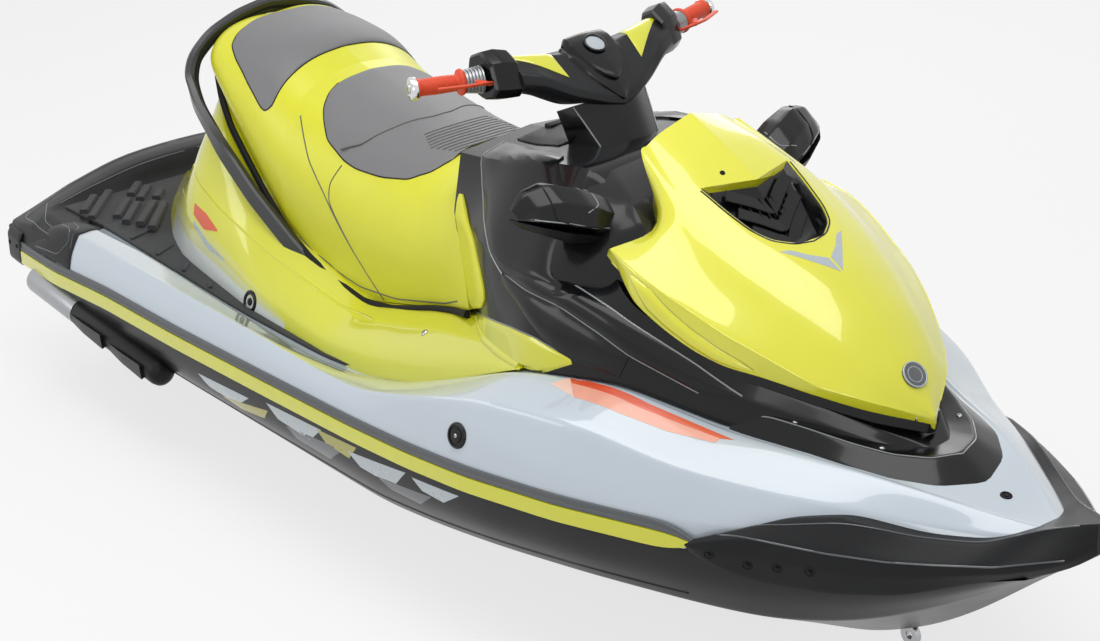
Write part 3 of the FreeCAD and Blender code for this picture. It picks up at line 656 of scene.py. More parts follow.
def make_bands():
    band = skin(band_rows(LIME_SECTION), "a b c d", "a b c d", half=True, spans=2, edge=1.5, fairing=8)
    settle(mirrored(band), "lime_band", "craft", "lime", ["side_bands"])
    strip = skin(band_rows(STRIP_SECTION), "a b c d e f", "a b c d e f", half=True, spans=1, edge=1.0,
                 fairing=8)
    settle(mirrored(strip), "rubbing_strip", "craft", "rail", ["side_rails"])
    rows = []
    for x, drawn_in in GUARD_INSETS:
        y = between(PLAN, "beam_y", x) - drawn_in
        z = between(PLAN, "joint_z", x)
        row = {"x": x}
        for corner, height, inset in GUARD_SECTION:
            row[corner + "_y"] = y - inset
            row[corner + "_z"] = z + height + (drawn_in if corner in "ab" else 0)
        rows.append(row)
    guard = mirrored(skin(rows, "a b c d e f", "a b c d e f", half=True, spans=2, edge=2, fairing=0,
                          step=6))
    settle(guard, "stern_corner_guards", "craft", "satin", ())
    screws = [screw(surface(guard), (x, 600, z), INBOARD, 6, 2) for x, z in ((24, 348), (78, 352))]
    settle(mirrored(joined(screws)), "corner_guard_screws", "craft", "dark", ())


make_bands()

# ---- deck ----
DECK = table("x floor_y floor_z wall_y wall_z inner_y inner_z crease_y crease_z side_y side_z flange_y", [
    (0, 430, 372, 440, 372, 458, 372, 490, 370, 508, 368, 520),
    (130, 430, 380, 440, 380, 458, 380, 500, 380, 528, 378, 542),
    (230, 430, 436, 440, 438, 462, 444, 512, 446, 543, 420, 556),
    (330, 430, 440, 446, 450, 462, 462, 518, 462, 552, 424, 568),
    (600, 425, 415, 448, 445, 470, 472, 542, 472, 568, 436, 580),
    (950, 418, 383, 444, 412, 460, 432, 560, 480, 582, 440, 593),
    (1300, 418, 375, 436, 382, 452, 394, 570, 478, 590, 442, 598),
    (1500, 418, 388, 436, 396, 452, 406, 574, 470, 592, 440, 600),
    (1700, 425, 440, 440, 446, 458, 454, 578, 472, 594, 442, 602),
    (1900, 430, 520, 440, 522, 456, 528, 572, 522, 590, 462, 598),
    (2100, 426, 600, 430, 602, 440, 606, 545, 572, 576, 486, 587),
    (2350, 366, 628, 369, 630, 378, 633, 496, 582, 528, 492, 543),
    (2600, 280, 578, 284, 580, 294, 583, 424, 540, 452, 476, 464),
    (2760, 216, 562, 220, 563, 230, 566, 330, 512, 358, 470, 372),
    (2930, 165, 552, 169, 553, 178, 556, 246, 508, 258, 480, 262),
    (3060, 105, 530, 109, 531, 118, 533, 168, 494, 178, 476, 182),
    (3170, 42, 505, 46, 506, 54, 508, 96, 490, 104, 482, 108),
    (3245, 8, 500, 10, 500, 14, 500, 30, 492, 34, 488, 38),
])
BANDS_HIGH = 62    # height of the coloured band and the rubbing strip together


def make_deck():
    rows = []
    for r in DECK:
        joint_z = between(PLAN, "joint_z", r["x"])
        rows.append(dict(r, flange_z=joint_z + BANDS_HIGH, joint_y=r["flange_y"], joint_z=joint_z))
    deck = skin(rows, "floor wall inner crease side flange joint", "floor crease flange joint",
                fairing=22, softness=5, edge=5)
    return settle(deck, "deck_skin", "craft", "ice", ["deck"])


deck_face = surface(make_deck())

# ---- stern trim: the raised lip behind the platform and its corners ----
LIP = table("x crown_y crown_z lip_y lip_z step_y step_z edge_y edge_z flange_y flange_z", [
    (0, 150, 496, 330, 452, 440, 416, 505, 396, 522, 364),
    (60, 150, 504, 330, 464, 462, 430, 518, 408, 534, 368),
    (105, 150, 502, 330, 468, 470, 438, 524, 418, 538, 371),
    (140, 150, 446, 330, 444, 474, 442, 528, 426, 544, 373),
    (330, 150, 442, 330, 441, 490, 441, 552, 428, 568, 384),
])
TRIM_FOOT = 40    # height of the trim's foot over the joint


def make_stern():
    rows = []
    for r in LIP:
        rows.append(dict(r, base_y=r["flange_y"], base_z=between(PLAN, "joint_z", r["x"]) + TRIM_FOOT))
    trim = skin(rows, "crown lip step edge flange base", "lip step edge flange base",
                fairing=2, softness=4, step=8)
    return settle(trim, "stern_trim_skin", "craft", "satin", ["stern_trim"])


stern_face = surface(make_stern())

# ---- pedestal ----
PEDESTAL = table("x shoulder_y shoulder_z ridge_y ridge_z belly_y belly_z foot_y foot_z", [
    (140, 36, 452, 42, 448, 46, 444, 50, 440),
    (330, 120, 520, 160, 502, 196, 474, 215, 440),
    (470, 160, 622, 214, 584, 268, 520, 300, 427),
    (560, 190, 740, 246, 676, 308, 560, 335, 419),
    (600, 205, 858, 262, 720, 326, 560, 350, 415),
    (700, 222, 770, 276, 670, 340, 530, 362, 406),
    (950, 250, 562, 304, 522, 366, 456, 385, 383),
    (1300, 256, 470, 316, 452, 384, 420, 400, 375),
    (1500, 256, 518, 326, 496, 396, 450, 414, 388),
    (1700, 268, 572, 344, 548, 408, 500, 423, 440),
    (1900, 345, 596, 376, 588, 414, 560, 428, 520),
    (2090, 418, 602, 421, 601, 423, 600, 424, 599),
])


def make_pedestal():
    pedestal = skin(PEDESTAL, "shoulder ridge belly foot", "shoulder ridge foot", fairing=14,
                    softness=5)
    return settle(pedestal, "pedestal_skin", "craft", "lime", ["pedestal"])


pedestal_face = surface(make_pedestal())

# ---- seats ----
SEAT = table("x centre_y centre_z crown_y crown_z pad_y pad_z shoulder_y shoulder_z side_y side_z "
             "base_y base_z", [
    (553, 0, 974, 60, 980, 116, 972, 158, 950, 184, 915, 172, 895),
    (566, 0, 992, 72, 1002, 140, 990, 186, 964, 212, 915, 182, 886),
    (586, 0, 996, 80, 1004, 152, 988, 200, 958, 224, 905, 194, 870),
    (616, 0, 992, 84, 990, 158, 972, 202, 944, 226, 898, 202, 846),
    (700, 0, 996, 95, 990, 172, 962, 222, 918, 248, 850, 216, 770),
    (820, 0, 990, 95, 985, 180, 944, 226, 895, 262, 790, 236, 680),
    (950, 0, 936, 92, 928, 176, 893, 222, 838, 268, 735, 246, 564),
    (1050, 0, 912, 90, 905, 174, 866, 222, 806, 268, 700, 247, 528),
    (1300, 0, 874, 88, 868, 172, 822, 222, 764, 268, 640, 248, 472),
    (1500, 0, 858, 90, 854, 172, 816, 224, 762, 268, 660, 248, 520),
    (1580, 0, 868, 93, 864, 174, 832, 226, 784, 267, 685, 248, 538),
    (1697, 0, 908, 98, 902, 178, 878, 226, 838, 268, 740, 286, 590),
])
SEAT_COLUMNS = "centre crown pad shoulder side base"
SEAT_SPLIT = 950    # x at which the rear seat ends and the front one starts


def leaned(row, names, foot_x=1742, foot_z=570, lean=0.32):
    """A row whose section leans aft above its foot, as the seam between seat and cowl does."""
    row = dict(row)
    for name in names.split():
        row[name + "_x"] = foot_x - lean * (row[name + "_z"] - foot_z)
    return row


# port halves of the grey pads' outlines: x and y
PAD_REAR = [(618, 60), (622, 110), (632, 150), (652, 182), (702, 203), (782, 224), (838, 234),
            (866, 236), (884, 224)]
PAD_FRONT = [(990, 96), (999, 132), (1022, 166), (1050, 186), (1089, 206), (1167, 216), (1217, 216),
             (1318, 206), (1400, 194), (1452, 164), (1474, 120), (1468, 66), (1456, 20)]


def make_seat(name, rows, node):
    """A taut cover over one seat's moulded foam."""
    cover = skin(rows, SEAT_COLUMNS, "base", fairing=16, softness=6, step=10)
    settle(cover, name, "craft", "vinyl_lime", [node], angle=50)
    return surface(cover)


rear_face = make_seat("seat_cover_rear", [r for r in SEAT if r["x"] <= SEAT_SPLIT], "seat_rear")
front_face = make_seat("seat_cover_front",
                       [r for r in SEAT if SEAT_SPLIT <= r["x"] < SEAT[-1]["x"]]
                       + [leaned(SEAT[-1], SEAT_COLUMNS)], "seat_front")


def make_pads():
    """Grey pads let into the yellow covers, with their piping."""
    piping = []
    for name, face, outline in (("rear_pad", rear_face, PAD_REAR), ("front_pad", front_face, PAD_FRONT)):
        # the outline falls on the cover from a little above it
        port = [(x, y, between(SEAT, "pad_z", x) + 20) for x, y in outline]
        starboard = [(x, -y, z) for x, y, z in port]
        pad = patch(face, port, starboard, DOWN, rise=0.6, sink=3, crown=6, across=22, step=9, power=10)
        settle(pad, name, "craft", "vinyl_grey", (), angle=60)
        piping.append(seam(face, port + starboard[::-1], DOWN, 1.7, 0.4, fairing=2, step=9))
    settle(joined(piping), "pad_piping", "craft", "dark", ())


make_pads()

# stitched lines: the front pad's yoke, then the cover's port side from the pad down to the hem
YOKE = [(1150, 206, 790), (1205, 181, 825), (1245, 117, 858), (1284, 24, 870), (1284, -24, 870),
        (1245, -117, 858), (1205, -181, 825), (1150, -206, 790)]
FOLD = [(1168, 218, 776), (1144, 243, 729), (1152, 262, 690), (1191, 268, 650), (1246, 266, 590),
        (1347, 256, 492)]
BOLSTER = [(975, 213, 855), (1053, 244, 766), (1130, 262, 706), (1246, 268, 590)]
HEM = [(1000, 262, 560), (1100, 262, 520), (1250, 262, 500), (1400, 262, 512), (1500, 262, 536),
       (1600, 262, 560), (1672, 262, 586)]
# painted shade: a dark cord along the foot of the two covers, where they stand off the pedestal
SEAT_GAP_SHADE = [(598, 196, 866), (640, 216, 820), (700, 232, 762), (780, 244, 704), (860, 250, 636),
            (950, 256, 570), (1050, 262, 526), (1150, 262, 494), (1282, 262, 470), (1400, 262, 486),
            (1493, 262, 514), (1573, 262, 538), (1660, 272, 562), (1740, 296, 584)]
RIBS = 15          # stitched ribs across the front pad's nose
RIB_START = 1330   # x at which their row starts
RIB_PITCH = 14
RIB_AHEAD = 24     # a rib's middle lies this far ahead of its place in the row,
RIB_BOW = 0.0022   # and its ends further aft than its middle by this times y squared
LONGEST_RIB = 5    # the sixth rib is the longest
RIB_HALF = 118     # its half length, which shrinks from rib to rib
RIB_SHRINK = 5
PAD_TOP = 6.3      # height of a stitch on a pad, over the cover underneath


def make_stitches():
    stitches = [seam(front_face, YOKE, DOWN, 2.2, 6.4, fairing=3)]
    for k in range(RIBS):
        x = RIB_START + k * RIB_PITCH
        half = RIB_HALF - abs(k - LONGEST_RIB) * RIB_SHRINK
        rib = [(x - RIB_BOW * (y * y) + RIB_AHEAD, y, 880) for y in
               (-half, -half * 0.6, 0, half * 0.6, half)]
        stitches.append(seam(front_face, rib, DOWN, 2.0, PAD_TOP, fairing=2))
    for side in (1, -1):
        for line in (FOLD, BOLSTER, HEM):
            stitches.append(seam(front_face, [(x, y * side, z) for x, y, z in line], (0, -side, -0.35),
                                 1.8, -0.2))
    settle(joined(stitches), "seat_seams", "craft", "seam_grey", ())
    # a dark cord in the gap under the covers: painted shade
    gap = sweep(SEAT_GAP_SHADE, oval(9, 8, 10), (0, 1, 0.3), 3, 12)
    settle(mirrored(gap), "seat_base_gap", "craft", "dark", ())


make_stitches()

# ---- cowl ----
COWL = table("x centre_y centre_z top_y top_z flank_y flank_z lower_y lower_z base_y base_z", [
    (1700, 0, 938, 206, 922, 252, 800, 258, 690, 256, 572),
    (1760, 0, 956, 212, 936, 284, 800, 290, 690, 284, 578),
    (1830, 0, 974, 216, 958, 322, 800, 330, 700, 326, 585),
    (1900, 0, 990, 216, 975, 344, 800, 356, 712, 366, 592),
    (2090, 0, 1004, 198, 1000, 366, 800, 396, 700, 418, 602),
    (2120, 0, 978, 190, 966, 362, 798, 394, 700, 412, 605),
    (2170, 0, 950, 180, 930, 360, 792, 392, 700, 407, 610),
])
COWL_NOSE = table("x top_y top_z flank_y flank_z lower_y lower_z base_y base_z", [
    (2170, 186, 872, 362, 796, 392, 700, 407, 610),
    (2262, 300, 828, 354, 770, 374, 700, 386, 620),
    (2350, 318, 788, 346, 745, 358, 690, 364, 630),
    (2600, 242, 698, 262, 650, 268, 620, 270, 580),
    (2760, 138, 630, 150, 600, 152, 586, 154, 562),
    (2930, 22, 570, 40, 562, 46, 558, 50, 550),
])


def make_cowl():
    rows = [leaned(COWL[0], "centre top flank lower base", foot_x=1700, lean=0.21)] + COWL[1:]
    rear = skin(rows, "centre top flank lower base", "top flank base", fairing=8, softness=3)
    nose = skin(COWL_NOSE, "top flank lower base", "top flank base", fairing=10, softness=2)
    return settle(joined([rear, nose]), "cowl_skin", "craft", "gloss", ["cowl"])


# the cowl's shoulder, from the column's foot forward under the hood's rear edge
SHOULDER = table("x centre_y centre_z ridge_y ridge_z brow_y brow_z rim_y rim_z low_y low_z", [
    (2060, 0, 996, 140, 992, 210, 975, 340, 826, 340, 700),
    (2100, 0, 994, 157, 985, 232, 960, 358, 812, 350, 700),
    (2140, 0, 986, 173, 977, 244, 946, 360, 806, 352, 700),
    (2190, 0, 968, 193, 964, 252, 928, 348, 808, 342, 700),
    (2240, 0, 940, 212, 948, 258, 906, 322, 812, 312, 700),
    (2280, 0, 905, 226, 926, 258, 882, 296, 806, 286, 720),
    (2320, 0, 850, 226, 868, 246, 846, 266, 800, 260, 740),
])


def make_cowl_shoulder():
    shoulder = skin(SHOULDER, "centre ridge brow rim low", "ridge rim", fairing=3, softness=3, step=9)
    settle(shoulder, "cowl_shoulder", "craft", "gloss", (), angle=30)


cowl_face = surface(make_cowl())
make_cowl_shoulder()

# creases of the cowl's port side, from the seat round to the bow
CHEEK_REAR = [(1683, 117, 933), (1722, 190, 912), (1756, 251, 885), (1813, 289, 843), (1880, 325, 808),
              (1934, 350, 781), (1967, 357, 765)]
CHEEK_FRONT = [(1960, 176, 985), (2050, 250, 940), (2100, 312, 850), (2135, 351, 812), (2170, 360, 790)]
BLADE_TOP = [(2135, 351, 812), (2302, 335, 777), (2424, 311, 735), (2506, 285, 702), (2608, 257, 655)]
BLADE_MID = [(1950, 354, 769), (2060, 376, 762), (2178, 370, 755), (2296, 357, 723), (2370, 345, 695),
             (2524, 291, 644)]
BLADE_LOW = [(1965, 362, 745), (2044, 380, 722), (2141, 396, 680), (2216, 392, 655), (2350, 352, 640),
             (2500, 300, 600)]
RIM_LOW = [(1790, 310, 608), (1840, 336, 626), (1901, 358, 644), (1961, 371, 654), (2025, 385, 666),
           (2115, 396, 674), (2175, 392, 666), (2226, 383, 656)]
CHEEK_CREST = [(1683, 117, 933), (1770, 142, 955), (1860, 170, 972), (1953, 195, 982)]
COWL_INBOARD = (0.1, -1, -0.45)


def make_cowl_facets():
    """The cowl's raised faces, and pale beads along the creases between them that paint their highlights.
    """
    cheek = patch(cowl_face, CHEEK_REAR, CHEEK_FRONT, COWL_INBOARD, 5, 3, 5, across=12, step=14, power=8)
    blade = patch(cowl_face, BLADE_TOP, BLADE_MID, COWL_INBOARD, 3, 3, 6, across=8, step=14, power=4)
    under = patch(cowl_face, BLADE_MID[:5], BLADE_LOW[:5], COWL_INBOARD, 2, 3, 5, across=8, step=14,
                  power=4)
    settle(mirrored(joined([cheek, blade, under])), "cowl_facets", "craft", "gloss", (), angle=28)
    # pale beads along the creases and the crest: painted highlights
    lines = [seam(cowl_face, CHEEK_REAR, COWL_INBOARD, 2.0, 5.0),
             seam(cowl_face, BLADE_TOP, COWL_INBOARD, 2.0, 3),
             seam(cowl_face, CHEEK_CREST, DOWN, 1.8, 0.4),
             seam(cowl_face, BLADE_MID, COWL_INBOARD, 1.6, 2.5),
             seam(cowl_face, RIM_LOW, COWL_INBOARD, 1.4, 0.8)]
    settle(mirrored(joined(lines)), "cowl_edge_beads", "craft", "edge_grey", ())


APRON_TOP = [(x, y, z - 2) for x, y, z in RIM_LOW]
APRON_FOOT = [(1790, 312, 560), (1840, 344, 562), (1901, 378, 566), (1961, 394, 574), (2025, 406, 584),
              (2113, 416, 596), (2169, 406, 614), (2230, 386, 644)]
FILLET = [(1770, 292, 582), (1830, 330, 588), (1900, 370, 592), (1990, 398, 596), (2080, 416, 600)]


def make_apron():
    """The pedestal's lime apron, which rises over the cowl's foot, and the fillet below it."""
    apron = patch(cowl_face, APRON_TOP, APRON_FOOT, COWL_INBOARD, 2.5, 3, 3, across=10, step=10, power=8)
    fillet = sweep(FILLET, oval(9, 7, 10), (0, 1, 0.4), 2, 12)
    settle(mirrored(joined([apron, fillet])), "cowl_apron", "craft", "lime", ())


LOBE_AFT = [(1664, 248, 842), (1684, 262, 760), (1702, 266, 690), (1722, 280, 640), (1745, 288, 602)]
LOBE_FORE = [(1676, 256, 846), (1724, 288, 815), (1790, 316, 782), (1846, 335, 738), (1880, 346, 700),
             (1884, 347, 676), (1864, 340, 652), (1826, 327, 634), (1764, 300, 606)]


def make_seat_lobe():
    """The front seat's lower lobe, which laps over the cowl."""
    lobe = patch(cowl_face, LOBE_AFT, LOBE_FORE, (0.1, -1, -0.2), 4, 6, 7, across=14, step=10, power=6)
    settle(mirrored(lobe), "seat_front_lobe", "craft", "vinyl_lime", ())


LID_SIDE = [(1690, 92, 940), (1870, 118, 985)]


def make_glovebox():
    """Lid of the glovebox behind the column, the gap round it and its catch."""
    port = LID_SIDE
    starboard = [(x, -y, z) for x, y, z in port]
    lid = patch(cowl_face, port, starboard, DOWN, 3, 3, 7, across=12, step=14, power=8)
    settle(lid, "glovebox_lid", "craft", "satin", ())
    outline = port + [(1890, 0, 985)] + starboard[::-1] + [(1682, 0, 940), port[0]]
    catch = block((1706, -26, 952), (1730, 26, 966))
    apply(catch, "BEVEL", width=3 / MM, segments=3)
    gap = seam(cowl_face, outline, DOWN, 2.2, 0.6)
    settle(joined([gap, catch]), "glovebox_gap", "craft", "dark", ())


make_cowl_facets()
make_apron()
make_seat_lobe()
make_glovebox()

# ---- hood ----
# corner is the valley between shoulder and wing, fold the wing's crisp ridge, edge the lid's rim
HOOD = table("x centre_y centre_z plateau_y plateau_z groove_y groove_z shoulder_y shoulder_z "
             "corner_x corner_y corner_z fold_x fold_y fold_z edge_x edge_y edge_z", [
    (2178, 0, 1098, 96, 1072, 124, 1052, 150, 1055, 2306, 184, 916, 2262, 305, 893, 2286, 302, 851),
    (2270, 0, 1060, 116, 1041, 143, 1014, 167, 1010, 2330, 212, 926, 2300, 312, 884, 2312, 312, 834),
    (2350, 0, 1020, 133, 1003, 155, 985, 178, 975, 2350, 226, 924, 2350, 320, 870, 2352, 318, 800),
    (2430, 0, 976, 124, 962, 150, 946, 184, 932, 2430, 232, 888, 2430, 308, 842, 2430, 304, 758),
    (2490, 0, 942, 112, 934, 145, 917, 178, 904, 2492, 224, 862, 2500, 290, 814, 2496, 286, 728),
    (2560, 0, 908, 72, 906, 118, 891, 166, 872, 2562, 208, 834, 2570, 273, 788, 2564, 262, 706),
    (2640, 0, 868, 50, 864, 96, 851, 143, 832, 2644, 184, 798, 2652, 238, 752, 2640, 228, 697),
    (2740, 0, 800, 42, 796, 76, 789, 112, 775, 2744, 146, 742, 2752, 184, 700, 2738, 175, 672),
    (2830, 0, 722, 34, 719, 58, 711, 82, 700, 2834, 96, 684, 2842, 106, 667, 2832, 96, 638),
    (2880, 0, 666, 14, 664, 24, 658, 33, 652, 2880, 38, 646, 2881, 43, 640, 2880, 40, 622),
    (2909, 0, 630, 1, 629, 1.5, 628, 2, 626, 2909, 2.5, 624, 2909, 3, 621, 2909, 3, 609),
])
# the air scoop's pocket: crest and wall stand over the hood, rim lies on its face, and low is the
# foot of the pocket's walls
SCOOP = table("x crest_y crest_z crest_x wall_y wall_z rim_y rim_z low_x low_y low_z "
              "floor_y floor_z floor_x", [
    (2346, 0, 1070, 2384, 127, 1070, 126, 1003, 2354, 110, 984, 0, 980, 2386),
    (2415, 0, 1060, 2415, 117, 1060, 116, 969, 2417, 98, 938, 0, 930, 2424),
    (2478, 0, 1040, 2478, 103, 1040, 102, 939, 2478, 80, 892, 0, 884, 2482),
    (2520, 0, 1020, 2520, 82, 1020, 81, 922, 2518, 56, 888, 0, 880, 2520),
    (2552, 0, 1000, 2552, 36, 1000, 33, 912, 2550, 18, 902, 0, 900, 2552),
])
# chevron louvres in the scoop: x, z and half breadth
LOUVRES = [(2392, 976, 88), (2424, 944, 82), (2454, 914, 70)]
GRILLE_RIBS = 9
GRILLE_PITCH = 16
# heights of the hood's hollow at its middle, one for each row of HOOD
ROOFS = [1066, 1020, 935, 885, 845, 846, 812, 750, 662, 630, 613]

# the long fin raised on the wing's lower face, and the crisp fold above it
FIN_TOP = [(2340, 327, 866), (2360, 325, 860), (2401, 316, 844), (2443, 300, 810), (2497, 282, 777),
           (2555, 262, 748), (2602, 246, 728), (2626, 236, 712)]
FIN_LOW = [(2338, 329, 862), (2356, 324, 838), (2384, 316, 797), (2430, 300, 768), (2490, 284, 738),
           (2545, 264, 716), (2590, 248, 708), (2628, 236, 706)]
HOOD_FOLD = [(2270, 304, 892), (2358, 318, 870), (2435, 306, 841), (2506, 288, 812), (2580, 270, 783),
             (2652, 238, 752), (2752, 184, 700), (2838, 106, 667), (2881, 43, 640)]


def lining(row, roof, thick=24):
    """A row of the hood's outside with its underside, which keeps inside it; roof is the height
    of the underside's middle and thick the wall at the wing."""
    edge = row["edge_y"]
    return dict(row, rim_y=max(edge * 0.7, edge - 9), rim_z=row["edge_z"], rim_x=row["edge_x"],
                inner_y=max(edge * 0.5, row["fold_y"] - thick),
                inner_z=max(row["edge_z"] + 1, row["fold_z"] - 34),
                haunch_x=row["corner_x"], haunch_y=max(edge * 0.45, row["corner_y"] - 16),
                haunch_z=min(row["corner_z"] - 26, roof + 60),
                vault_y=max(edge * 0.4, row["shoulder_y"] - 20),
                vault_z=min(row["shoulder_z"] - 28, roof + 30), roof_y=0, roof_z=roof)


def make_hood():
    rows = [lining(r, z) for r, z in zip(HOOD, ROOFS)]
    hood = skin(rows, "centre plateau groove shoulder corner fold edge rim inner haunch vault roof",
                "fold edge rim", fairing=10, softness=4, step=9)
    pocket = skin(SCOOP, "crest wall rim low floor", "wall rim low", fairing=3, softness=1, step=8)
    cut(hood, pocket)
    return settle(hood, "hood_skin", "hood", "yellow", ["hood"], angle=30)


def funnel(row):
    """A row of the pocket's thin dark lining: dip, foot and lip are its inside, back, side and keel
    its outside."""
    return dict(row, dip_y=0, dip_z=row["floor_z"] + 4, dip_x=row["floor_x"],
                foot_y=row["low_y"] - 4, foot_z=row["low_z"] + 5, foot_x=row["low_x"],
                lip_y=row["rim_y"] - 5, lip_z=row["rim_z"] - 1,
                back_y=row["rim_y"] + 3, back_z=row["rim_z"] - 5,
                side_y=row["low_y"] + 5, side_z=row["low_z"] - 8, side_x=row["low_x"],
                keel_y=0, keel_z=row["floor_z"] - 10, keel_x=row["floor_x"])


def make_scoop():
    """The scoop's lining with its chevron louvres and the ribs behind them."""
    parts = [skin([funnel(row) for row in SCOOP], "dip foot lip back side keel", "lip back foot",
                  fairing=3, softness=1, step=8, edge=1.5)]
    for x, z, half in LOUVRES:
        chevron = [(x - 8, -half, z + 10), (x + 14, -half * 0.5, z - 8), (x + 40, 0, z - 30),
                   (x + 14, half * 0.5, z - 8), (x - 8, half, z + 10)]
        parts.append(sweep(chevron, slab(30, 5, 1.5), (0.55, 0, 0.83), fairing=1, step=6))
    for k in range(GRILLE_RIBS):
        y = (k - GRILLE_RIBS // 2) * GRILLE_PITCH
        x = 2412 - abs(y) * 0.25
        parts.append(sweep([(x, y, 968), (x + 36, y, 934)], slab(3, 6, 0.8), (0.6, 0, 0.8), fairing=0))
    settle(joined(parts), "scoop_louvres", "hood", "gloss", ["scoop_grille"])


hood_face = surface(make_hood())
make_scoop()


CHEVRON_TOP = [(2548, 88, 910), (2590, 50, 893), (2640, 3, 868)]
CHEVRON_FOOT = [(2556, 66, 912), (2580, 40, 902), (2604, 3, 890)]
SCOOP_RIM = [(2352, 128, 1002), (2415, 119, 968), (2478, 105, 938), (2520, 84, 922), (2548, 46, 913),
             (2557, 0, 912)]
# the band under the hood's edge, from its port end round the nose, and its outward directions
HOOD_BAND = [(2600, 240, 692), (2640, 223, 686), (2738, 170, 661), (2832, 92, 628), (2880, 36, 611),
             (2904, 0, 599)]
HOOD_BAND_OUT = [(0.3, 1, 0), (0.5, 0.8, 0), (0.7, 0.7, 0), (1, 0.3, 0), (1, 0, 0)]
HOOD_SIDE = (0.1, -1, -0.2)


def make_nose_badge():
    """A blank round badge with two rings."""
    hit, normal = landed(hood_face, (2864, 0, 720), (-0.6, 0, -0.8))
    badge = turned(hit - normal * 4 / MM, hit + normal * 3 / MM,
                   [(0, 29), (5, 29), (6.2, 28), (7, 26)], 40)
    settle(badge, "nose_badge", "hood", "badge_dark", ["hood_badge"])
    rings = [ring_at(hit + normal * 2.8 / MM, normal, 27.5, 1.8),
             ring_at(hit + normal * 2.6 / MM, normal, 17, 0.9)]
    settle(joined(rings), "nose_badge_rings", "hood", "film_silver", ())


def make_hood_trim():
    film = patch(hood_face, CHEVRON_TOP, CHEVRON_FOOT, DOWN, 0.6, 1, across=4, step=9)
    settle(mirrored(film), "scoop_chevron_film", "hood", "film_silver", ())
    settle(mirrored(seam(hood_face, SCOOP_RIM, DOWN, 2.2, -0.6)), "scoop_rim", "hood", "gloss", ())
    band = sweep(to_starboard(HOOD_BAND), slab(24, 7, 2), to_starboard(HOOD_BAND_OUT), 1, 8)
    settle(band, "hood_edge_band", "hood", "gloss", ())
    fin = patch(hood_face, FIN_TOP, FIN_LOW, HOOD_SIDE, 1.5, 2, 9, across=10, step=10, power=3)
    crease = seam(hood_face, HOOD_FOLD, (0.1, -1, -0.6), 1.5, 0.3)
    settle(mirrored(joined([fin, crease])), "hood_fins", "hood", "yellow", (), angle=40)
    # an olive cord along the fin's top edge: painted shade under the fold
    shade = seam(hood_face, FIN_TOP, HOOD_SIDE, 1.3, 0.2)
    settle(mirrored(shade), "hood_fin_painted_shade", "hood", "film_gold", ())
    clip = screw(hood_face, (2340, -56, 1015), DOWN, 6, 3)
    settle(clip, "hood_clip", "hood", "dark", ())


make_nose_badge()
make_hood_trim()

# ---- bow: garnish and bumper ----
# stations of the black shelf round the hood's nose, from the side to the centre plane:
# x and y of its inner edge, then of its crest with its height, then of its foot on the deck
GARNISH = [((2592, 200), (2592, 258, 600), (2594, 281)), ((2653, 168), (2653, 229, 618), (2684, 243)),
           ((2737, 118), (2737, 188, 603), (2765, 214)), ((2800, 82), (2831, 150, 588), (2850, 192)),
           ((2828, 52), (2905, 116, 580), (2938, 160)), ((2838, 24), (2962, 66, 575), (3016, 100)),
           ((2842, 0), (2986, 0, 573), (3060, 0))]
# x and height from which the shelf's inner edge falls towards the bow, and its slope
SHELF_START = (2653, 600)
SHELF_FALL = 0.16
SHELF_LIP = 4        # least drop from the crest to the inner edge
SHELF_SUNK = 4       # depth of the foot in the deck
SHELF_THICK = 16     # from there down to the underside


def make_garnish():
    rings = []
    for side, run in ((-1, GARNISH), (1, GARNISH[-2::-1])):
        for (inner_x, inner_y), (crest_x, crest_y, crest_z), (foot_x, foot_y) in run:
            foot_z = between(DECK, "floor_z", foot_x) - SHELF_SUNK
            fallen_z = SHELF_START[1] - (inner_x - SHELF_START[0]) * SHELF_FALL
            inner_z = min(crest_z - SHELF_LIP, fallen_z)
            corners = [(inner_x, inner_y, inner_z), (crest_x, crest_y, crest_z),
                       (foot_x, foot_y, foot_z), (inner_x, inner_y, foot_z - SHELF_THICK)]
            rings.append([at(x, y * side, z) for x, y, z in corners])
    piece = lofted(rings, (1, 2), spans=5, softness=2, fairing=1, step=12, edge=4)
    return settle(piece, "bow_garnish_skin", "craft", "gloss", ["bow_garnish"])


garnish_face = surface(make_garnish())

BUMPER = table("x inner_y inner_z top_y top_z ridge_y ridge_z under_y under_z low_y low_z", [
    (2646, 446, 402, 448, 403, 452, 400, 452, 394, 447, 386),
    (2690, 426, 422, 430, 424, 440, 416, 441, 396, 434, 366),
    (2760, 372, 450, 384, 454, 406, 436, 404, 398, 392, 342),
    (2820, 320, 478, 334, 482, 378, 440, 376, 398, 364, 340),
    (2930, 256, 500, 272, 503, 331, 442, 330, 400, 318, 346),
    (3060, 188, 480, 206, 484, 264, 446, 262, 412, 250, 368),
    (3170, 118, 482, 136, 486, 190, 452, 188, 434, 168, 408),
    (3250, 54, 518, 74, 522, 122, 458, 118, 444, 96, 424),
    (3320, 14, 545, 30, 548, 46, 476, 44, 466, 32, 452),
    (3350, 4, 550, 10, 552, 13, 508, 12, 498, 10, 484),
])


def make_bumper():
    bumper = skin(BUMPER, "inner top ridge under low", "top ridge under low", fairing=5, softness=3)
    return settle(bumper, "bow_bumper_skin", "craft", "satin", ["bow_bumper"])


bumper_face = surface(make_bumper())

BUMPER_BOLTS = [(2700, 430, 388), (2773, 391, 378), (2832, 367, 385), (2898, 339, 392)]
BUMPER_RIDGE = [(2700, 448, 446), (2762, 406, 444), (2930, 331, 442), (3043, 271, 444), (3114, 223, 448),
                (3212, 154, 456), (3308, 52, 470)]
BUMPER_TOP = [(2720, 400, 458), (2823, 345, 480), (2926, 284, 500), (3060, 206, 484), (3170, 136, 486),
              (3250, 74, 520), (3320, 30, 546)]


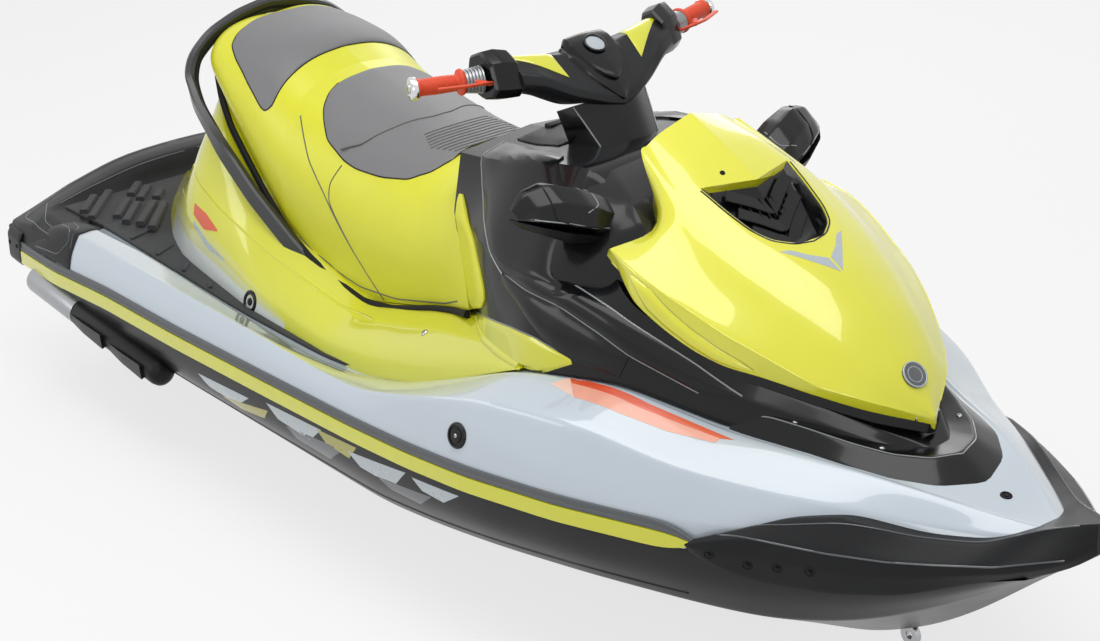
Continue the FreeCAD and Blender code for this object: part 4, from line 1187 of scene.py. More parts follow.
def make_bow_details():
    bolts = []
    for spot in BUMPER_BOLTS:
        hit, normal = landed(bumper_face, spot, INBOARD)
        bolts.append(turned(hit - normal * 3 / MM, hit + normal * 3 / MM, [
            (0, 12), (3, 12), (4.4, 11), (4.4, 9), (2.5, 8.5), (2.5, 6), (6, 5.6), (6.4, 4.6)], 24))
    settle(mirrored(joined(bolts)), "bumper_bolts", "craft", "dark", ())
    # grey beads along the bumper's ridge and top edge: painted highlights
    lines = [seam(bumper_face, BUMPER_RIDGE, (-0.1, -1, -0.6), 2.0, 0.2),
             seam(bumper_face, BUMPER_TOP, DOWN, 1.6, 0.2)]
    settle(mirrored(joined(lines)), "bumper_edge_beads", "craft", "grey_film_and_edge_highlight", ())
    # a pale bead along the garnish's crest: painted highlight
    crest = [(x, y, z + 20) for _, (x, y, z), _ in GARNISH]
    settle(mirrored(seam(garnish_face, crest, DOWN, 1.6, -0.4)), "garnish_edge_bead", "craft",
           "edge_grey", ())
    pins = [screw(garnish_face, (x, y, 620), DOWN, 6, 3) for x, y in ((2700, 190), (2870, 112))]
    settle(mirrored(joined(pins)), "garnish_screws", "craft", "steel", ())


make_bow_details()

# ---- deck fittings, films and lines ----
FLASH_TOP = [(2232, 398, 616), (2312, 385, 626), (2438, 355, 609), (2552, 318, 585), (2630, 294, 571)]
FLASH_MID = [(2252, 414, 612), (2318, 402, 616), (2430, 376, 602), (2536, 338, 580), (2606, 312, 570)]
FLASH_LOW = [(2296, 440, 604), (2350, 428, 600), (2410, 412, 595), (2512, 376, 575), (2606, 326, 569)]
TIP_OUTER = [(2212, 436, 602), (2234, 400, 614)]
TIP_INNER = [(2292, 440, 604), (2256, 414, 612)]


def capped(tree, point, toward, sunk, high, steps, count):
    """A round fitting let into a skin; steps are as in turned. Also gives its place and normal."""
    hit, normal = landed(tree, point, toward)
    return turned(hit - normal * sunk / MM, hit + normal * high / MM, steps, count), hit, normal


def make_deck_films():
    orange = patch(deck_face, FLASH_TOP, FLASH_MID, DOWN, 0.5, 1, across=3, step=12)
    settle(mirrored(orange), "bow_flash", "craft", "film_orange", ())
    pale = patch(deck_face, FLASH_MID, FLASH_LOW, DOWN, 0.6, 1, across=4, step=12)
    settle(mirrored(pale), "bow_flash_inner", "craft", "film_pale", ())
    tip = patch(deck_face, TIP_OUTER, TIP_INNER, DOWN, 0.55, 1, across=4, step=8)
    settle(mirrored(tip), "bow_flash_tip", "craft", "film_white_edge", ())


def make_deck_fittings():
    """The round cover on the starboard side and the drain plug at the bow."""
    cover, hit, normal = capped(deck_face, (2061, -573, 482), (0, 1, 0), 4, 4, [
        (0, 29), (5, 29), (7, 27.5), (8, 25), (8, 22), (5.5, 21), (5.5, 16), (7.5, 15), (8, 12)], 40)
    settle(cover, "side_port_cover", "craft", "gloss", ())
    settle(screw_at(hit + normal * 3 / MM, normal, 4.5, 3), "side_port_key", "craft", "steel", ())
    plug = capped(deck_face, (3104, 0, 521), DOWN, 3, 3, [
        (0, 13), (3, 13), (5, 12), (5.5, 9.5), (3.5, 8.5), (3.5, 5), (5, 4.4)], 28)[0]
    settle(plug, "bow_drain_plug", "craft", "dark", ())


make_deck_films()
make_deck_fittings()

# ---- stern: ribs of the boarding mat, caps at the corners ----
# one side of the mat: ends of each raised bar
MAT_BARS = [((222, 412), (138, 330)), ((276, 420), (134, 282)), ((318, 368), (222, 276)),
            ((198, 252), (134, 190)), ((366, 370), (266, 274)), ((244, 252), (176, 186)),
            ((404, 350), (290, 238)), ((268, 216), (222, 172)), ((452, 344), (318, 222))]
BAR_SECTION = [(11, -4), (11, 6), (8.5, 10), (-8.5, 10), (-11, 6), (-11, -4)]
TREAD_SECTION = [(5, -5), (5, 1), (3, 3), (-3, 3), (-5, 1), (-5, -5)]
UPWARD = (0, 0, 1)
TREADS = 7          # raised treads across each footwell's mat, where it is wide enough
TREAD_START = 420
TREAD_PITCH = 120
TREAD_SLANT = 30    # a tread's outer end lies this far ahead of its inner one
TREAD_LIFT = 8      # height of its path over the floor
SHORTEST_TREAD = 14
OUTER_GAP = 22      # from its outer end to the floor's edge
INNER_GAP = 12      # from its inner end to the pedestal's foot
INNERMOST = 300     # least breadth of its inner end


def make_mat_bars():
    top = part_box("platform_mat")[1].z / SCALE[2]
    bars = []
    for (outer_x, outer_y), (inner_x, inner_y) in MAT_BARS:
        path = [(outer_x, outer_y, top + 2), (inner_x, inner_y, top + 2)]
        bars.append(sweep(path, BAR_SECTION, UPWARD, 0, 12))
    settle(mirrored(joined(bars)), "boarding_mat_ribs", "craft", "mat", (), angle=40)
    treads = []
    for k in range(TREADS):
        x = TREAD_START + k * TREAD_PITCH
        outer = between(DECK, "floor_y", x) - OUTER_GAP
        inner = max(between(PEDESTAL, "foot_y", x) + INNER_GAP, INNERMOST)
        z = between(DECK, "floor_z", x) + TREAD_LIFT
        if outer - inner > SHORTEST_TREAD:
            path = [(x, inner, z), (x + TREAD_SLANT, outer, z)]
            treads.append(sweep(path, TREAD_SECTION, UPWARD, 0, 8))
    settle(mirrored(joined(treads)), "footwell_mat_ribs", "craft", "mat", (), angle=40)


make_mat_bars()

# lines of the stern trim's port side, laid in grey as painted highlights: creases behind the platform, then
# the lip's two edges
TRIM_CREASES = [
    [(30, 470, 470), (60, 500, 450), (190, 528, 440), (300, 540, 440)],
    [(30, 400, 480), (46, 440, 470), (60, 500, 450)],
    [(60, 430, 470), (170, 500, 445), (300, 520, 440)],
    [(230, 470, 445), (236, 545, 430)],
]
LIP_EDGES = [[(105, 20, 510), (104, 150, 508), (104, 330, 474), (108, 420, 452)],
             [(14, 20, 505), (14, 150, 502), (14, 330, 456), (14, 430, 422)]]
# the stern corner's cap, and lines pressed into it, laid in grey as painted highlights
CAP_INNER = [(132, 450, 476), (230, 460, 480), (330, 468, 486), (376, 476, 480)]
CAP_OUTER = [(132, 552, 384), (230, 562, 388), (330, 572, 394), (412, 578, 398)]
CAP_LINES = [[(160, 500, 460), (330, 516, 466), (372, 540, 440), (340, 566, 410), (200, 560, 400)],
             [(200, 470, 470), (350, 500, 470), (392, 548, 430)]]
CAP_SIDE = (0, -0.8, -1)


def make_stern_details():
    lines = [seam(stern_face, points, DOWN, 1.4, 0.1) for points in TRIM_CREASES]
    lines += [seam(stern_face, points, DOWN, 1.8, 0.0) for points in LIP_EDGES]
    settle(mirrored(joined(lines)), "stern_trim_painted_highlights", "craft", "grey_film_and_edge_highlight", ())
    cap = patch(deck_face, CAP_INNER, CAP_OUTER, CAP_SIDE, 3, 4, 2, across=18, step=10, power=12)
    settle(mirrored(cap), "stern_corner_caps", "craft", "satin", (), angle=45)
    cap_face = surface(cap)
    cap_lines = [seam(cap_face, points, CAP_SIDE, 1.3, 0.1) for points in CAP_LINES]
    settle(mirrored(joined(cap_lines)), "stern_cap_painted_highlights", "craft", "grey_film_and_edge_highlight", ())
    screws = [screw(stern_face, (10, y, z), (1, 0, 0), 7, 3) for y, z in ((512, 380), (440, 392))]
    settle(mirrored(joined(screws)), "stern_screws", "craft", "dark", ())


make_stern_details()

# ---- pedestal: films, lines, drain port ----
PEDESTAL_SIDE = (0.15, -1, -0.5)
# the sprayed fade: its upper edge in the lime, its lower edge in the white, and the shares of the
# upper edge in the two lines between its three tones
FADE_TOP = [(470, 262, 548), (560, 300, 560), (655, 318, 520), (720, 326, 508), (800, 334, 490),
            (900, 348, 462), (1010, 366, 432), (1120, 384, 408)]
FADE_FOOT = [(470, 300, 436), (560, 335, 424), (655, 354, 416), (720, 362, 410), (800, 372, 402),
             (900, 380, 394), (1010, 386, 388), (1120, 392, 386)]
FADE_SHARES = (0.72, 0.45)
SWOOSH_TOP = [(640, 310, 560), (700, 312, 548), (760, 318, 522)]
SWOOSH_FOOT = [(646, 316, 532), (706, 322, 508), (764, 320, 518)]
SHADOW_TOP = [(650, 322, 520), (730, 332, 486), (820, 340, 464)]
SHADOW_FOOT = [(654, 328, 506), (736, 340, 470), (822, 342, 460)]
PEDESTAL_RIDGE = [(470, 236, 575), (560, 268, 640), (640, 290, 610), (740, 300, 575), (860, 306, 540),
                  (980, 312, 512), (1100, 318, 492), (1250, 322, 470), (1400, 330, 480)]


def make_pedestal_films():
    upper, lower = [[tuple(a * share + b * (1 - share) for a, b in zip(p, q))
                     for p, q in zip(FADE_TOP, FADE_FOOT)] for share in FADE_SHARES]
    for name, coat, first, second, rise, across, step in (
            ("pedestal_white_edge", "fade_white", lower, FADE_FOOT, 0.5, 8, 12),
            ("pedestal_fade", "fade_pale", upper, lower, 0.5, 6, 12),
            ("pedestal_fade_upper", "fade_lime", FADE_TOP, upper, 0.5, 6, 12),
            ("pedestal_flash", "film_orange", SWOOSH_TOP, SWOOSH_FOOT, 1.0, 4, 8),
            ("pedestal_flash_shadow", "film_silver", SHADOW_TOP, SHADOW_FOOT, 1.0, 4, 8)):
        film = patch(pedestal_face, first, second, PEDESTAL_SIDE, rise, 1, across=across, step=step)
        settle(mirrored(film), name, "craft", coat, ())


def make_pedestal_fittings():
    port = capped(pedestal_face, (959, 374, 404), PEDESTAL_SIDE, 4, 4, [
        (0, 29), (5, 29), (7, 27), (8, 24), (8, 20), (4, 18), (4, 10), (7, 9), (7.5, 6)], 32)[0]
    settle(mirrored(port), "drain_ports", "craft", "gloss", ())
    pin = screw(pedestal_face, (1651, 327, 515), PEDESTAL_SIDE, 9, 4)
    settle(mirrored(pin), "pedestal_screws", "craft", "steel", ())
    settle(mirrored(seam(pedestal_face, PEDESTAL_RIDGE, PEDESTAL_SIDE, 4.0, -2.2)), "pedestal_ridge",
           "craft", "lime", ())


make_pedestal_films()
make_pedestal_fittings()

# ---- hull: design on the side, lines ----
# slanted shards of a plain design in three films: x and z of the ends of each upper and lower edge
SHARDS = [("film_silver", (1020, 296), (1250, 306), (1060, 270), (1180, 262)),
          ("film_gold", (1110, 262), (1330, 300), (1180, 250), (1300, 268)),
          ("film_silver", (1330, 322), (1560, 330), (1370, 292), (1500, 282)),
          ("grey_film_and_edge_highlight", (1400, 286), (1640, 306), (1430, 258), (1560, 250)),
          ("film_gold", (1540, 326), (1700, 334), (1570, 300), (1660, 292)),
          ("film_silver", (1660, 312), (1880, 334), (1700, 284), (1820, 276)),
          ("grey_film_and_edge_highlight", (1760, 282), (1960, 300), (1800, 260), (1900, 256)),
          ("film_silver", (1900, 330), (2060, 338), (1930, 306), (2000, 300))]


OUTSIDE_HULL = 600    # a breadth from which the hull's side is met all along the design


def make_hull_design():
    by_coat = {}
    for coat, *ends in SHARDS:
        ends = [(x, OUTSIDE_HULL, z) for x, z in ends]
        shard = patch(hull_face, ends[:2], ends[2:], INBOARD, 0.5, 1, across=4, step=20)
        by_coat.setdefault(coat, []).append(shard)
    for coat, pieces in by_coat.items():
        settle(mirrored(joined(pieces)), "hull_design_" + coat, "craft", coat, ())
    # a low bead above the chine
    bead = [(r["x"], r["chine_y"] + 40, r["chine_z"] + 26) for r in HULL if 600 <= r["x"] <= 2600]
    settle(mirrored(seam(hull_face, bead, INBOARD, 3.0, -0.8, step=20)), "hull_side_line", "craft",
           "hull", ())


make_hull_design()

# ---- steering ----
RAKE = math.radians(24)
AXIS = (1930, 0, 1000)
COLUMN_UP = Vector((-math.sin(RAKE), 0, math.cos(RAKE)))
COLUMN_FORE = Vector((math.cos(RAKE), 0, math.sin(RAKE)))


def on_column(fore, y, up):
    """Frame point ahead of the steering axis, to port and up along it, in millimetres."""
    return at(*AXIS) + (COLUMN_FORE * fore + Vector((0, y, 0)) + COLUMN_UP * up) / MM


# the handlebar's port half, as on_column takes it
BAR = [(0, 0, 140), (-8, 120, 155), (-50, 250, 186), (-101, 432, 212)]


def along_bar(y):
    """Point of the handlebar's port half at breadth y."""
    for low, high in zip(BAR, BAR[1:]):
        if low[1] <= y <= high[1]:
            share = (y - low[1]) / (high[1] - low[1])
            return on_column(*[a + (b - a) * share for a, b in zip(low, high)])


# breadths at which the collar, the grip and the bar's end start, and the cap ends
COLLAR_START = 270
GRIP_START = 312
END_START = 414
CAP_END = 431.9
GRIP_RIBS = 12
COLLAR_RINGS = 6
COLLAR_PITCH = 7.4
END_CAP = [(0, 22), (2, 25), (11, 26), (15, 24), (17, 19), (17, 11), (15, 10), (15, 3)]
LEVER_ARM = [(-34, 262, 172), (2, 300, 176), (-8, 340, 180), (-38, 400, 192)]
LEVER_ROOT = [(2, 300, 176), (-14, 316, 186)]


def make_grips():
    """Rubber grips: a flange, a ribbed barrel that swells in the middle, and a bead at the end."""
    start, end = along_bar(GRIP_START), along_bar(END_START)
    length = (end - start).length * MM
    steps = [(0, 27), (2, 29), (6, 30), (10, 28), (13, 21)]
    for k in range(GRIP_RIBS):
        a = 16 + (length - 24) * k / GRIP_RIBS
        swell = 18.4 + 1.2 * math.sin(math.pi * k / GRIP_RIBS)
        steps += [(a, swell), (a + 3.2, swell), (a + 3.8, swell - 0.7), (a + 5.4, swell - 0.7)]
    steps += [(length - 5, 21), (length - 2, 22), (length, 21)]
    settle(mirrored(turned(start, end, steps)), "grip_sleeves", "steering", "grip", ["grips"])
    cap = turned(end, along_bar(CAP_END), END_CAP)
    settle(mirrored(cap), "bar_end_caps", "steering", "chrome", ["bar_ends"])


def make_collars():
    """Ringed collars inboard of the grips, a little slimmer from ring to ring."""
    steps = []
    for k in range(COLLAR_RINGS):
        a = 1 + k * COLLAR_PITCH
        size = 31 - k
        steps += [(a, size - 4), (a + 1.2, size), (a + 4.4, size), (a + 5.6, size - 4)]
    collar = turned(along_bar(COLLAR_START), along_bar(GRIP_START), steps)
    settle(mirrored(collar), "ribbed_collars", "steering", "collar_silver", ["collars"])


def make_levers():
    lever = []
    for points, radii in ((LEVER_ARM, (9, 4)), (LEVER_ROOT, (7, 5))):
        line = [place(on_column(*p)) for p in points]
        lever.append(sweep(line, oval(*radii, 10), COLUMN_UP, 2, 8))
    settle(mirrored(joined(lever)), "thumb_levers", "steering", "grip", ["levers"])


make_grips()
make_collars()
make_levers()

# stations of the bar cover's port half: y, then corners ahead of the steering axis and up along it
COVER = [
    (0, [(58, 48), (60, 66), (12, 178), (-20, 206), (-74, 196), (-74, 88), (-30, 78), (30, 72),
         (48, 40)]),
    (40, [(58, 60), (58, 78), (8, 182), (-24, 206), (-74, 196), (-74, 88), (-30, 78), (30, 72),
          (48, 56)]),
    (74, [(53, 76), (52, 94), (0, 190), (-32, 206), (-70, 197), (-70, 89), (-28, 79), (20, 75),
          (42, 70)]),
    (104, [(44, 90), (43, 112), (-6, 196), (-38, 207), (-64, 198), (-64, 96), (-26, 86), (14, 82),
           (32, 82)]),
    (130, [(38, 106), (36, 128), (-8, 201), (-38, 209), (-60, 200), (-60, 108), (-24, 98), (12, 96),
           (26, 97)]),
    (170, [(30, 134), (28, 156), (-14, 209), (-40, 215), (-60, 206), (-60, 132), (-24, 122), (8, 121),
           (20, 124)]),
    (214, [(14, 152), (13, 174), (-26, 218), (-42, 222), (-62, 212), (-62, 146), (-25, 140), (0, 140),
           (8, 142)]),
]

# stations down the face of the instrument console and of the skirt below it: ahead of the steering
# axis, up along it, lean of the face forward in degrees, half width
CONSOLE = [(-60, 203, -15, 34), (-42, 220, -8, 54), (-20, 226, 15, 62), (2, 208, 45, 66),
           (20, 182, 58, 62), (42, 145, 60, 46), (57, 115, 62, 20), (60, 108, 62, 4)]
SKIRT = [(-50, 198, -10, 70), (-20, 208, 12, 84), (14, 178, 50, 82), (36, 138, 62, 66), (52, 100, 70, 42),
         (63, 66, 76, 12), (64, 60, 76, 3)]


def raised(station, deep=14):
    """Ring of points across the console at a station."""
    fore, up, lean, half = station
    lean = math.radians(lean)
    flat = half * 0.84
    ring = []
    for y, rise in ((half, -deep), (flat, 0), (0, 4), (-flat, 0), (-half, -deep), (0, -deep)):
        ring.append(on_column(fore + rise * math.sin(lean), y, up + rise * math.cos(lean)))
    return ring


# edges of the cover's lime inserts, and the meter's place
INSERT_AFT = [(-46, 112, 200), (-48, 205, 212)]
INSERT_FORE = [(34, 104, 150), (-22, 205, 204)]
METER = (17, 0, 196)


def make_bar_cover():
    rings = [[on_column(fore, y, up) for fore, up in corners] for y, corners in COVER]
    half = lofted(rings, (0, 1, 2, 4, 8), spans=3, softness=2, fairing=3, step=8, edge=2.5)
    cover = mirrored(half)
    settle(cover, "bar_cover_skin", "steering", "satin_dark", ["bar_cover"], angle=32)
    face = surface(cover)
    shells = []
    for stations in (CONSOLE, SKIRT):
        shells.append(lofted([raised(station) for station in stations], (0, 1, 3, 4), spans=4, softness=2,
                             fairing=1, step=6, edge=1.5))
    settle(joined(shells), "binnacle", "steering", "gloss", (), angle=30)
    aft_edge = [place(on_column(*p)) for p in INSERT_AFT]
    fore_edge = [place(on_column(*p)) for p in INSERT_FORE]
    insert = patch(face, aft_edge, fore_edge, -(COLUMN_UP + COLUMN_FORE * 0.5), 1.0, 2, 2, across=10,
                   step=8)
    settle(mirrored(insert), "bar_cover_inserts", "steering", "lime", ())


def make_meter():
    """The meter's blank lens and its bezel, on the console's sloping front."""
    facing = COLUMN_UP * 0.6 + COLUMN_FORE * 0.8
    top = on_column(*METER)
    dial = turned(top - facing * 12 / MM, top, [(0, 23), (10, 23), (11.4, 22), (12, 19)], 36)
    settle(dial, "meter_lens", "steering", "film_silver", ["meter"])
    settle(ring_at(top, facing, 25, 3), "meter_bezel", "steering", "gloss", ())


make_bar_cover()
make_meter()

# the switch pod: breadth and share of its full size at each station, corners of its section ahead of
# the bar and up, and breadths of its buttons
POD_STATIONS = [(206, 0.9), (212, 1.0), (240, 1.06), (264, 1.0), (270, 0.9)]
POD_SECTION = [(40, -34), (44, 24), (18, 58), (-24, 58), (-40, 36), (-38, -28), (-18, -44), (18, -48)]
BUTTONS = (222, 238, 254)


def make_pods():
    rings = []
    for y, size in POD_STATIONS:
        centre = along_bar(y)
        rings.append([centre + (COLUMN_FORE * fore + COLUMN_UP * up) * size / MM
                      for fore, up in POD_SECTION])
    pods = mirrored(lofted(rings, range(8), spans=2, softness=0, step=6, edge=2))
    settle(pods, "switch_pod_shells", "steering", "gloss", ["switch_pods"], angle=28)
    buttons = []
    for y in BUTTONS:
        foot = along_bar(y) + (COLUMN_FORE * -39 + COLUMN_UP * 4) / MM
        buttons.append(turned(foot, foot - COLUMN_FORE * 5 / MM, [(0, 5.5), (3, 5.5), (5, 4.4)], 16))
    settle(mirrored(joined(buttons)), "switch_buttons", "steering", "grey_film_and_edge_highlight", ())


make_pods()

# stations up the column's cover: up along the axis, nose, front edge and back ahead of and behind it,
# half width
SHROUD = [(-74, 70, 47, 76, 74), (-20, 66, 36, 70, 84), (40, 58, 20, 60, 96), (76, 52, 10, 56, 103)]
SHROUD_RIDGE = [(-56, 43, 77), (-20, 36, 84), (40, 20, 96), (74, 10, 103)]


def make_column():
    """Cover of the steering column: a rounded front between two edges that lean aft."""
    rings = []
    for up, nose, fore, aft, half in SHROUD:
        corners = [(nose, 0), (nose * 0.94, half * 0.42), (fore, half), (-aft * 0.4, half * 1.02),
                   (-aft, half), (-aft, -half), (-aft * 0.4, -half * 1.02), (fore, -half),
                   (nose * 0.94, -half * 0.42)]
        rings.append([on_column(a, b, up) for a, b in corners])
    shell = lofted(rings, (2, 4, 5, 7), spans=4, softness=3, step=10, edge=2.5)
    settle(shell, "column_shroud", "craft", "gloss", ["column_cover"], angle=35)
    # pale beads along the cover's two edges: painted highlights
    ridge = [place(on_column(fore - 0.5, half + 0.5, up)) for up, fore, half in SHROUD_RIDGE]
    settle(mirrored(sweep(ridge, oval(1.7, 1.7, 8), COLUMN_FORE, 0, 12)), "column_edge_beads", "craft",
           "edge_grey", ())


make_column()

# ---- mirrors ----
# sections of the shell from its foot outboard: y, then x and z round it
MIRROR = [(222, [(2092, 880), (2180, 874), (2214, 894), (2200, 930), (2150, 958), (2108, 954)]),
          (290, [(2080, 896), (2172, 894), (2206, 916), (2190, 962), (2144, 994), (2096, 988)]),
          (352, [(2074, 912), (2152, 914), (2186, 938), (2166, 982), (2124, 1012), (2090, 1008)]),
          (404, [(2076, 930), (2130, 932), (2158, 950), (2142, 974), (2110, 1000), (2086, 998)]),
          (434, [(2090, 946), (2108, 944), (2124, 952), (2116, 960), (2102, 968), (2094, 966)])]


# the blade under the shell, likewise
BLADE = [(262, [(2106, 868), (2190, 876), (2206, 892), (2106, 888)]),
         (340, [(2092, 884), (2178, 890), (2196, 916), (2092, 908)]),
         (400, [(2088, 914), (2152, 922), (2166, 938), (2088, 930)]),
         (436, [(2094, 942), (2116, 944), (2124, 950), (2094, 948)])]
GLASS_FOOT = [(2060, 258, 908), (2060, 400, 940)]
GLASS_TOP = [(2078, 258, 972), (2072, 400, 988)]
MIRROR_GROOVE = [(2230, 236, 906), (2230, 290, 918), (2220, 350, 940), (2200, 410, 954)]
MIRROR_CREST = [(2190, 300, 950), (2180, 262, 948), (2150, 256, 966), (2130, 262, 978)]
MIRROR_JOINT = [(2096, 372, 1040), (2130, 364, 1040), (2190, 372, 960), (2220, 352, 940),
                (2240, 300, 930), (2240, 250, 912)]


def around(stations):
    """Frame rings of stations given as y, then x and z round them."""
    return [[at(x, y, z) for x, z in section] for y, section in stations]


def make_mirrors():
    shell = mirrored(lofted(around(MIRROR), range(6), spans=3, softness=1, fairing=1, step=8, edge=2.5))
    settle(shell, "mirror_shells", "craft", "gloss", ["mirrors"], angle=32)
    face = surface(shell)
    glass = patch(face, GLASS_FOOT, GLASS_TOP, (1, 0, 0), 1.2, 2, across=8, step=10)
    settle(mirrored(glass), "mirror_glass", "craft", "glass", ())
    # pale lines in the shell's groove and along its crest: painted highlights
    lines = [seam(face, MIRROR_GROOVE, (-1, 0, 0), 1.5, 0.2),
             seam(face, MIRROR_CREST, (-0.6, 0, -1), 1.5, 0.2)]
    settle(mirrored(joined(lines)), "mirror_painted_highlight_lines", "craft", "edge_grey", ())
    joint = seam(face, MIRROR_JOINT, (-0.5, 0, -0.7), 2.2, 0.3)
    settle(mirrored(joint), "mirror_shut_lines", "craft", "dark", ())
    blade = lofted(around(BLADE), range(4), spans=2, softness=0, step=10)
    settle(mirrored(blade), "mirror_blades", "craft", "satin", ())


make_mirrors()

# ---- grab rail ----
# the rail's port half, from its foot on the pedestal up to the centre plane behind the seat
GRAB = [(1150, 246, 440), (1000, 268, 536), (860, 283, 634), (736, 284, 725), (620, 276, 812),
        (562, 256, 862), (547, 232, 908), (544, 172, 956), (543, 88, 986), (543, 0, 1000)]


# outward direction at each of its points
GRAB_OUT = [(0, 1, 0.25)] * 5 + [(-0.6, 0.8, 0.2), (-0.8, 0.5, 0.3), (-1, 0.2, 0.4), (-1, 0.1, 0.4),
                                 (-1, 0, 0.4)]


def make_grab_rail():
    whole = to_starboard(GRAB)
    rail = sweep(whole, slab(44, 23, 5), to_starboard(GRAB_OUT), 3, 14)
    settle(rail, "grab_rail_band", "craft", "rail_black", ["grab_rail"], angle=30)
    # a soft liner inside the rail's upper bend
    bend = [(x + 8, y * 0.955, z - 3) for x, y, z in whole[3:-3]]
    liner = sweep(bend, oval(6, 5, 10), (-1, 0, 0.3), 3, 14)
    settle(liner, "grab_rail_liner", "craft", "dark", ())


make_grab_rail()

# ---- pieces that keep their solid's flats: body, finish, radius of the edges, slot ----
EASED = {
    "footwell_mats": ("craft", "mat", 2, "mat"), "platform_mat": ("craft", "mat", 2, "mat"),
    "hood_hinge": ("craft", "steel", 1, "steel"), "handlebar": ("steering", "steel", 0, "steel"),
    "pump_housing": ("craft", "cast", 2, "alloy"), "impeller": ("impeller", "steel", 1, "steel"),
    "steering_nozzle": ("nozzle", "cast", 1.5, "alloy"), "reverse_bucket": ("bucket", "cast", 1.5, "alloy"),
    "ride_plate": ("craft", "cast", 2, "alloy"), "intake_grate": ("craft", "cast", 2, "alloy"),
    "engine": ("craft", "cast", 4, "alloy"), "bow_eye": ("craft", "steel", 2, "steel"),
    "stern_eye": ("craft", "steel", 2, "steel"),
}
for node, (body, coat, width, slot) in EASED.items():
    softened(node, body, coat, width)

# ---- sponsons ----
# the port sponson's axis from its tail forward, and the share of it that is the bright tail
SPONSON = [(180, 543, 290), (820, 556, 218)]
TAIL_SHARE = 0.36
ROUND = 40         # faces round a sponson
# two flaps: shares of the axis at which each starts and ends
FLAPS = [(0.30, 0.62), (0.60, 0.92)]
# share of the flap, then how far its outer edge stands out, up and down to its foot
FLAP_STATIONS = [(0, 34, 2, 20), (0.5, 43, 12, 34), (1, 46, 20, 42)]


def make_sponsons():
    start, end = at(*SPONSON[0]), at(*SPONSON[1])
    split = start.lerp(end, TAIL_SHARE)
    tail = (split - start).length * MM
    front = (end - start).length * MM - tail
    shell = turned(start, split, [(0, 24), (0, 33), (3, 37), (9, 38), (tail - 3, 38), (tail, 37)], ROUND)
    settle(mirrored(shell), "sponson_tail_shells", "craft", "collar_silver", ["sponson_tails"])
    body = turned(split, end, [(0, 35), (3, 37), (front - 26, 37), (front - 12, 34), (front - 3, 25),
                               (front, 12)], ROUND)
    settle(mirrored(body), "sponson_shells", "craft", "satin", ["sponsons"])
    flaps = []
    for aft, fore in FLAPS:
        low, high = start.lerp(end, aft), start.lerp(end, fore)
        rings = []
        for share, out, up, deep in FLAP_STATIONS:
            middle = low.lerp(high, share)
            corners = [(out - 16, up - 10), (out, up), (out - 4, up - deep), (out - 26, up - deep + 8)]
            rings.append([middle + Vector((0, y, z)) / MM for y, z in corners])
        flaps.append(lofted(rings, range(4), spans=2, softness=0, step=10, edge=1.5))
    settle(mirrored(joined(flaps)), "sponson_flaps", "craft", "satin_dark", ())


make_sponsons()

# ---- studio ----
# each lamp's place, the point it faces, its two sides in metres and its power in watts
LAMPS = {
    "overhead": ((0.4, -0.6, 4.2), (0, 0, 0.4), (4.5, 2.0), 92),
    "front_left": ((4.2, -4.2, 2.6), (0.4, 0, 0.5), (2.2, 2.0), 46),
    "side": ((-2.6, -4.6, 2.2), (-0.6, 0, 0.5), (3.0, 1.4), 34),
    "rear_rim": ((-3.0, 3.6, 3.0), (0, 0, 0.6), (3.0, 1.6), 40),
}
FLOOR_SIZE = 60
FLOOR_BELOW = 0.001    # metres under the keel
FLOOR_GLOW = 0.74      # share of plain white in the floor where it is seen, so that shadows stay pale
ROOM_LIGHT = 0.34      # the world's strength on the craft; where it is seen, it is 1


def lamp(name, where, aim, size, power):
    light = bpy.data.lights.new(name, "AREA")
    light.shape = "RECTANGLE"
    light.size, light.size_y = size
    light.energy = power
    holder = bpy.data.objects.new(name, light)
    bpy.context.scene.collection.objects.link(holder)
    holder.location = where
    holder.rotation_euler = (Vector(aim) - Vector(where)).to_track_quat("-Z", "Y").to_euler()


def background_seen(tree):
    """1 for camera, glossy and transmission rays, which see the background plain, and 0 for others."""
    ray = add(tree, "LightPath")
    bent = add(tree, "Math", {"operation": "MAXIMUM"}, in0=ray.outputs["Is Glossy Ray"],
               in1=ray.outputs["Is Transmission Ray"])
    seen = add(tree, "Math", {"operation": "MAXIMUM"}, in0=ray.outputs["Is Camera Ray"],
               in1=bent.outputs[0])
    return seen.outputs[0]


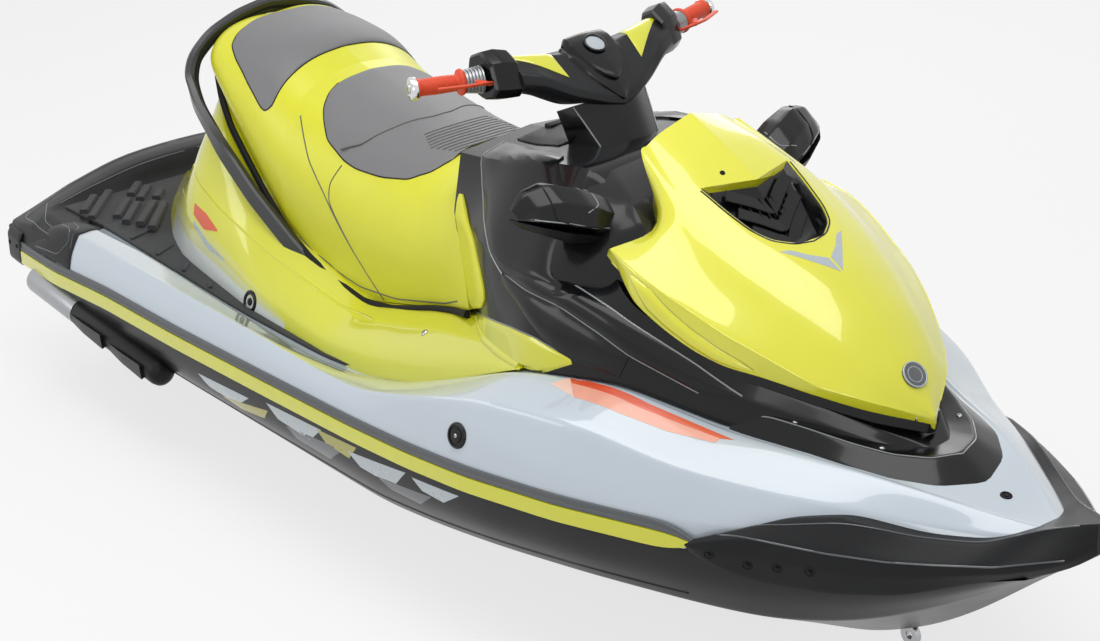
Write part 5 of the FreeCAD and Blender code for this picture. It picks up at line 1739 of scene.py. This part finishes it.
def make_floor():
    bpy.ops.mesh.primitive_plane_add(size=FLOOR_SIZE, location=(0, 0, cad_low.z - FLOOR_BELOW))
    floor = bpy.context.object
    floor.name = "studio_floor"
    material = bpy.data.materials.new("pale_floor")
    material.use_nodes = True
    tree = material.node_tree
    shader = tree.nodes["Principled BSDF"]
    shader.inputs["Base Color"].default_value = linear("#F4F4F4")
    shader.inputs["Roughness"].default_value = 0.9
    glow = add(tree, "Emission", {"Color": (1, 1, 1, 1), "Strength": 1.0})
    share = add(tree, "Math", {"operation": "MULTIPLY", 1: FLOOR_GLOW}, in0=background_seen(tree))
    both = add(tree, "MixShader", {}, in0=share.outputs[0], in1=shader.outputs[0], in2=glow.outputs[0])
    tree.links.new(both.outputs[0], tree.nodes["Material Output"].inputs["Surface"])
    floor.data.materials.append(material)


def make_world():
    world = bpy.data.worlds.new("studio")
    world.use_nodes = True
    tree = world.node_tree
    back = tree.nodes["Background"]
    back.inputs["Color"].default_value = (1, 1, 1, 1)
    strength = add(tree, "MapRange", {"To Min": ROOM_LIGHT, "To Max": 1.0}, Value=background_seen(tree))
    tree.links.new(strength.outputs["Result"], back.inputs["Strength"])
    bpy.context.scene.world = world


CAMERA_PLACE = (4.8646, -3.8484, 3.0661)
CAMERA_TURN = 51.698     # degrees from the starboard beam towards the bow
CAMERA_RISE = 22.767     # degrees over the horizon
CAMERA_ROLL = -2.196
LENS = 93.6
SENSOR = 36


def make_camera():
    """Long lens, high over the starboard bow."""
    camera = bpy.data.cameras.new("camera")
    camera.sensor_width = SENSOR
    camera.lens = LENS
    camera.clip_end = 100
    holder = bpy.data.objects.new("camera", camera)
    bpy.context.scene.collection.objects.link(holder)
    turn, rise, roll = [math.radians(v) for v in (CAMERA_TURN, CAMERA_RISE, CAMERA_ROLL)]
    back = Vector((math.sin(turn) * math.cos(rise), -math.cos(turn) * math.cos(rise), math.sin(rise)))
    right = Vector((math.cos(turn), math.sin(turn), 0))
    up = back.cross(right)
    side = right * math.cos(roll) + up * math.sin(roll)
    top = up * math.cos(roll) - right * math.sin(roll)
    holder.matrix_world = Matrix.Translation(CAMERA_PLACE) @ Matrix((side, top, back)).transposed().to_4x4()
    bpy.context.scene.camera = holder


make_floor()
make_world()
for name, settings in LAMPS.items():
    lamp(name, *settings)
make_camera()
bpy.context.scene.view_settings.view_transform = "Standard"
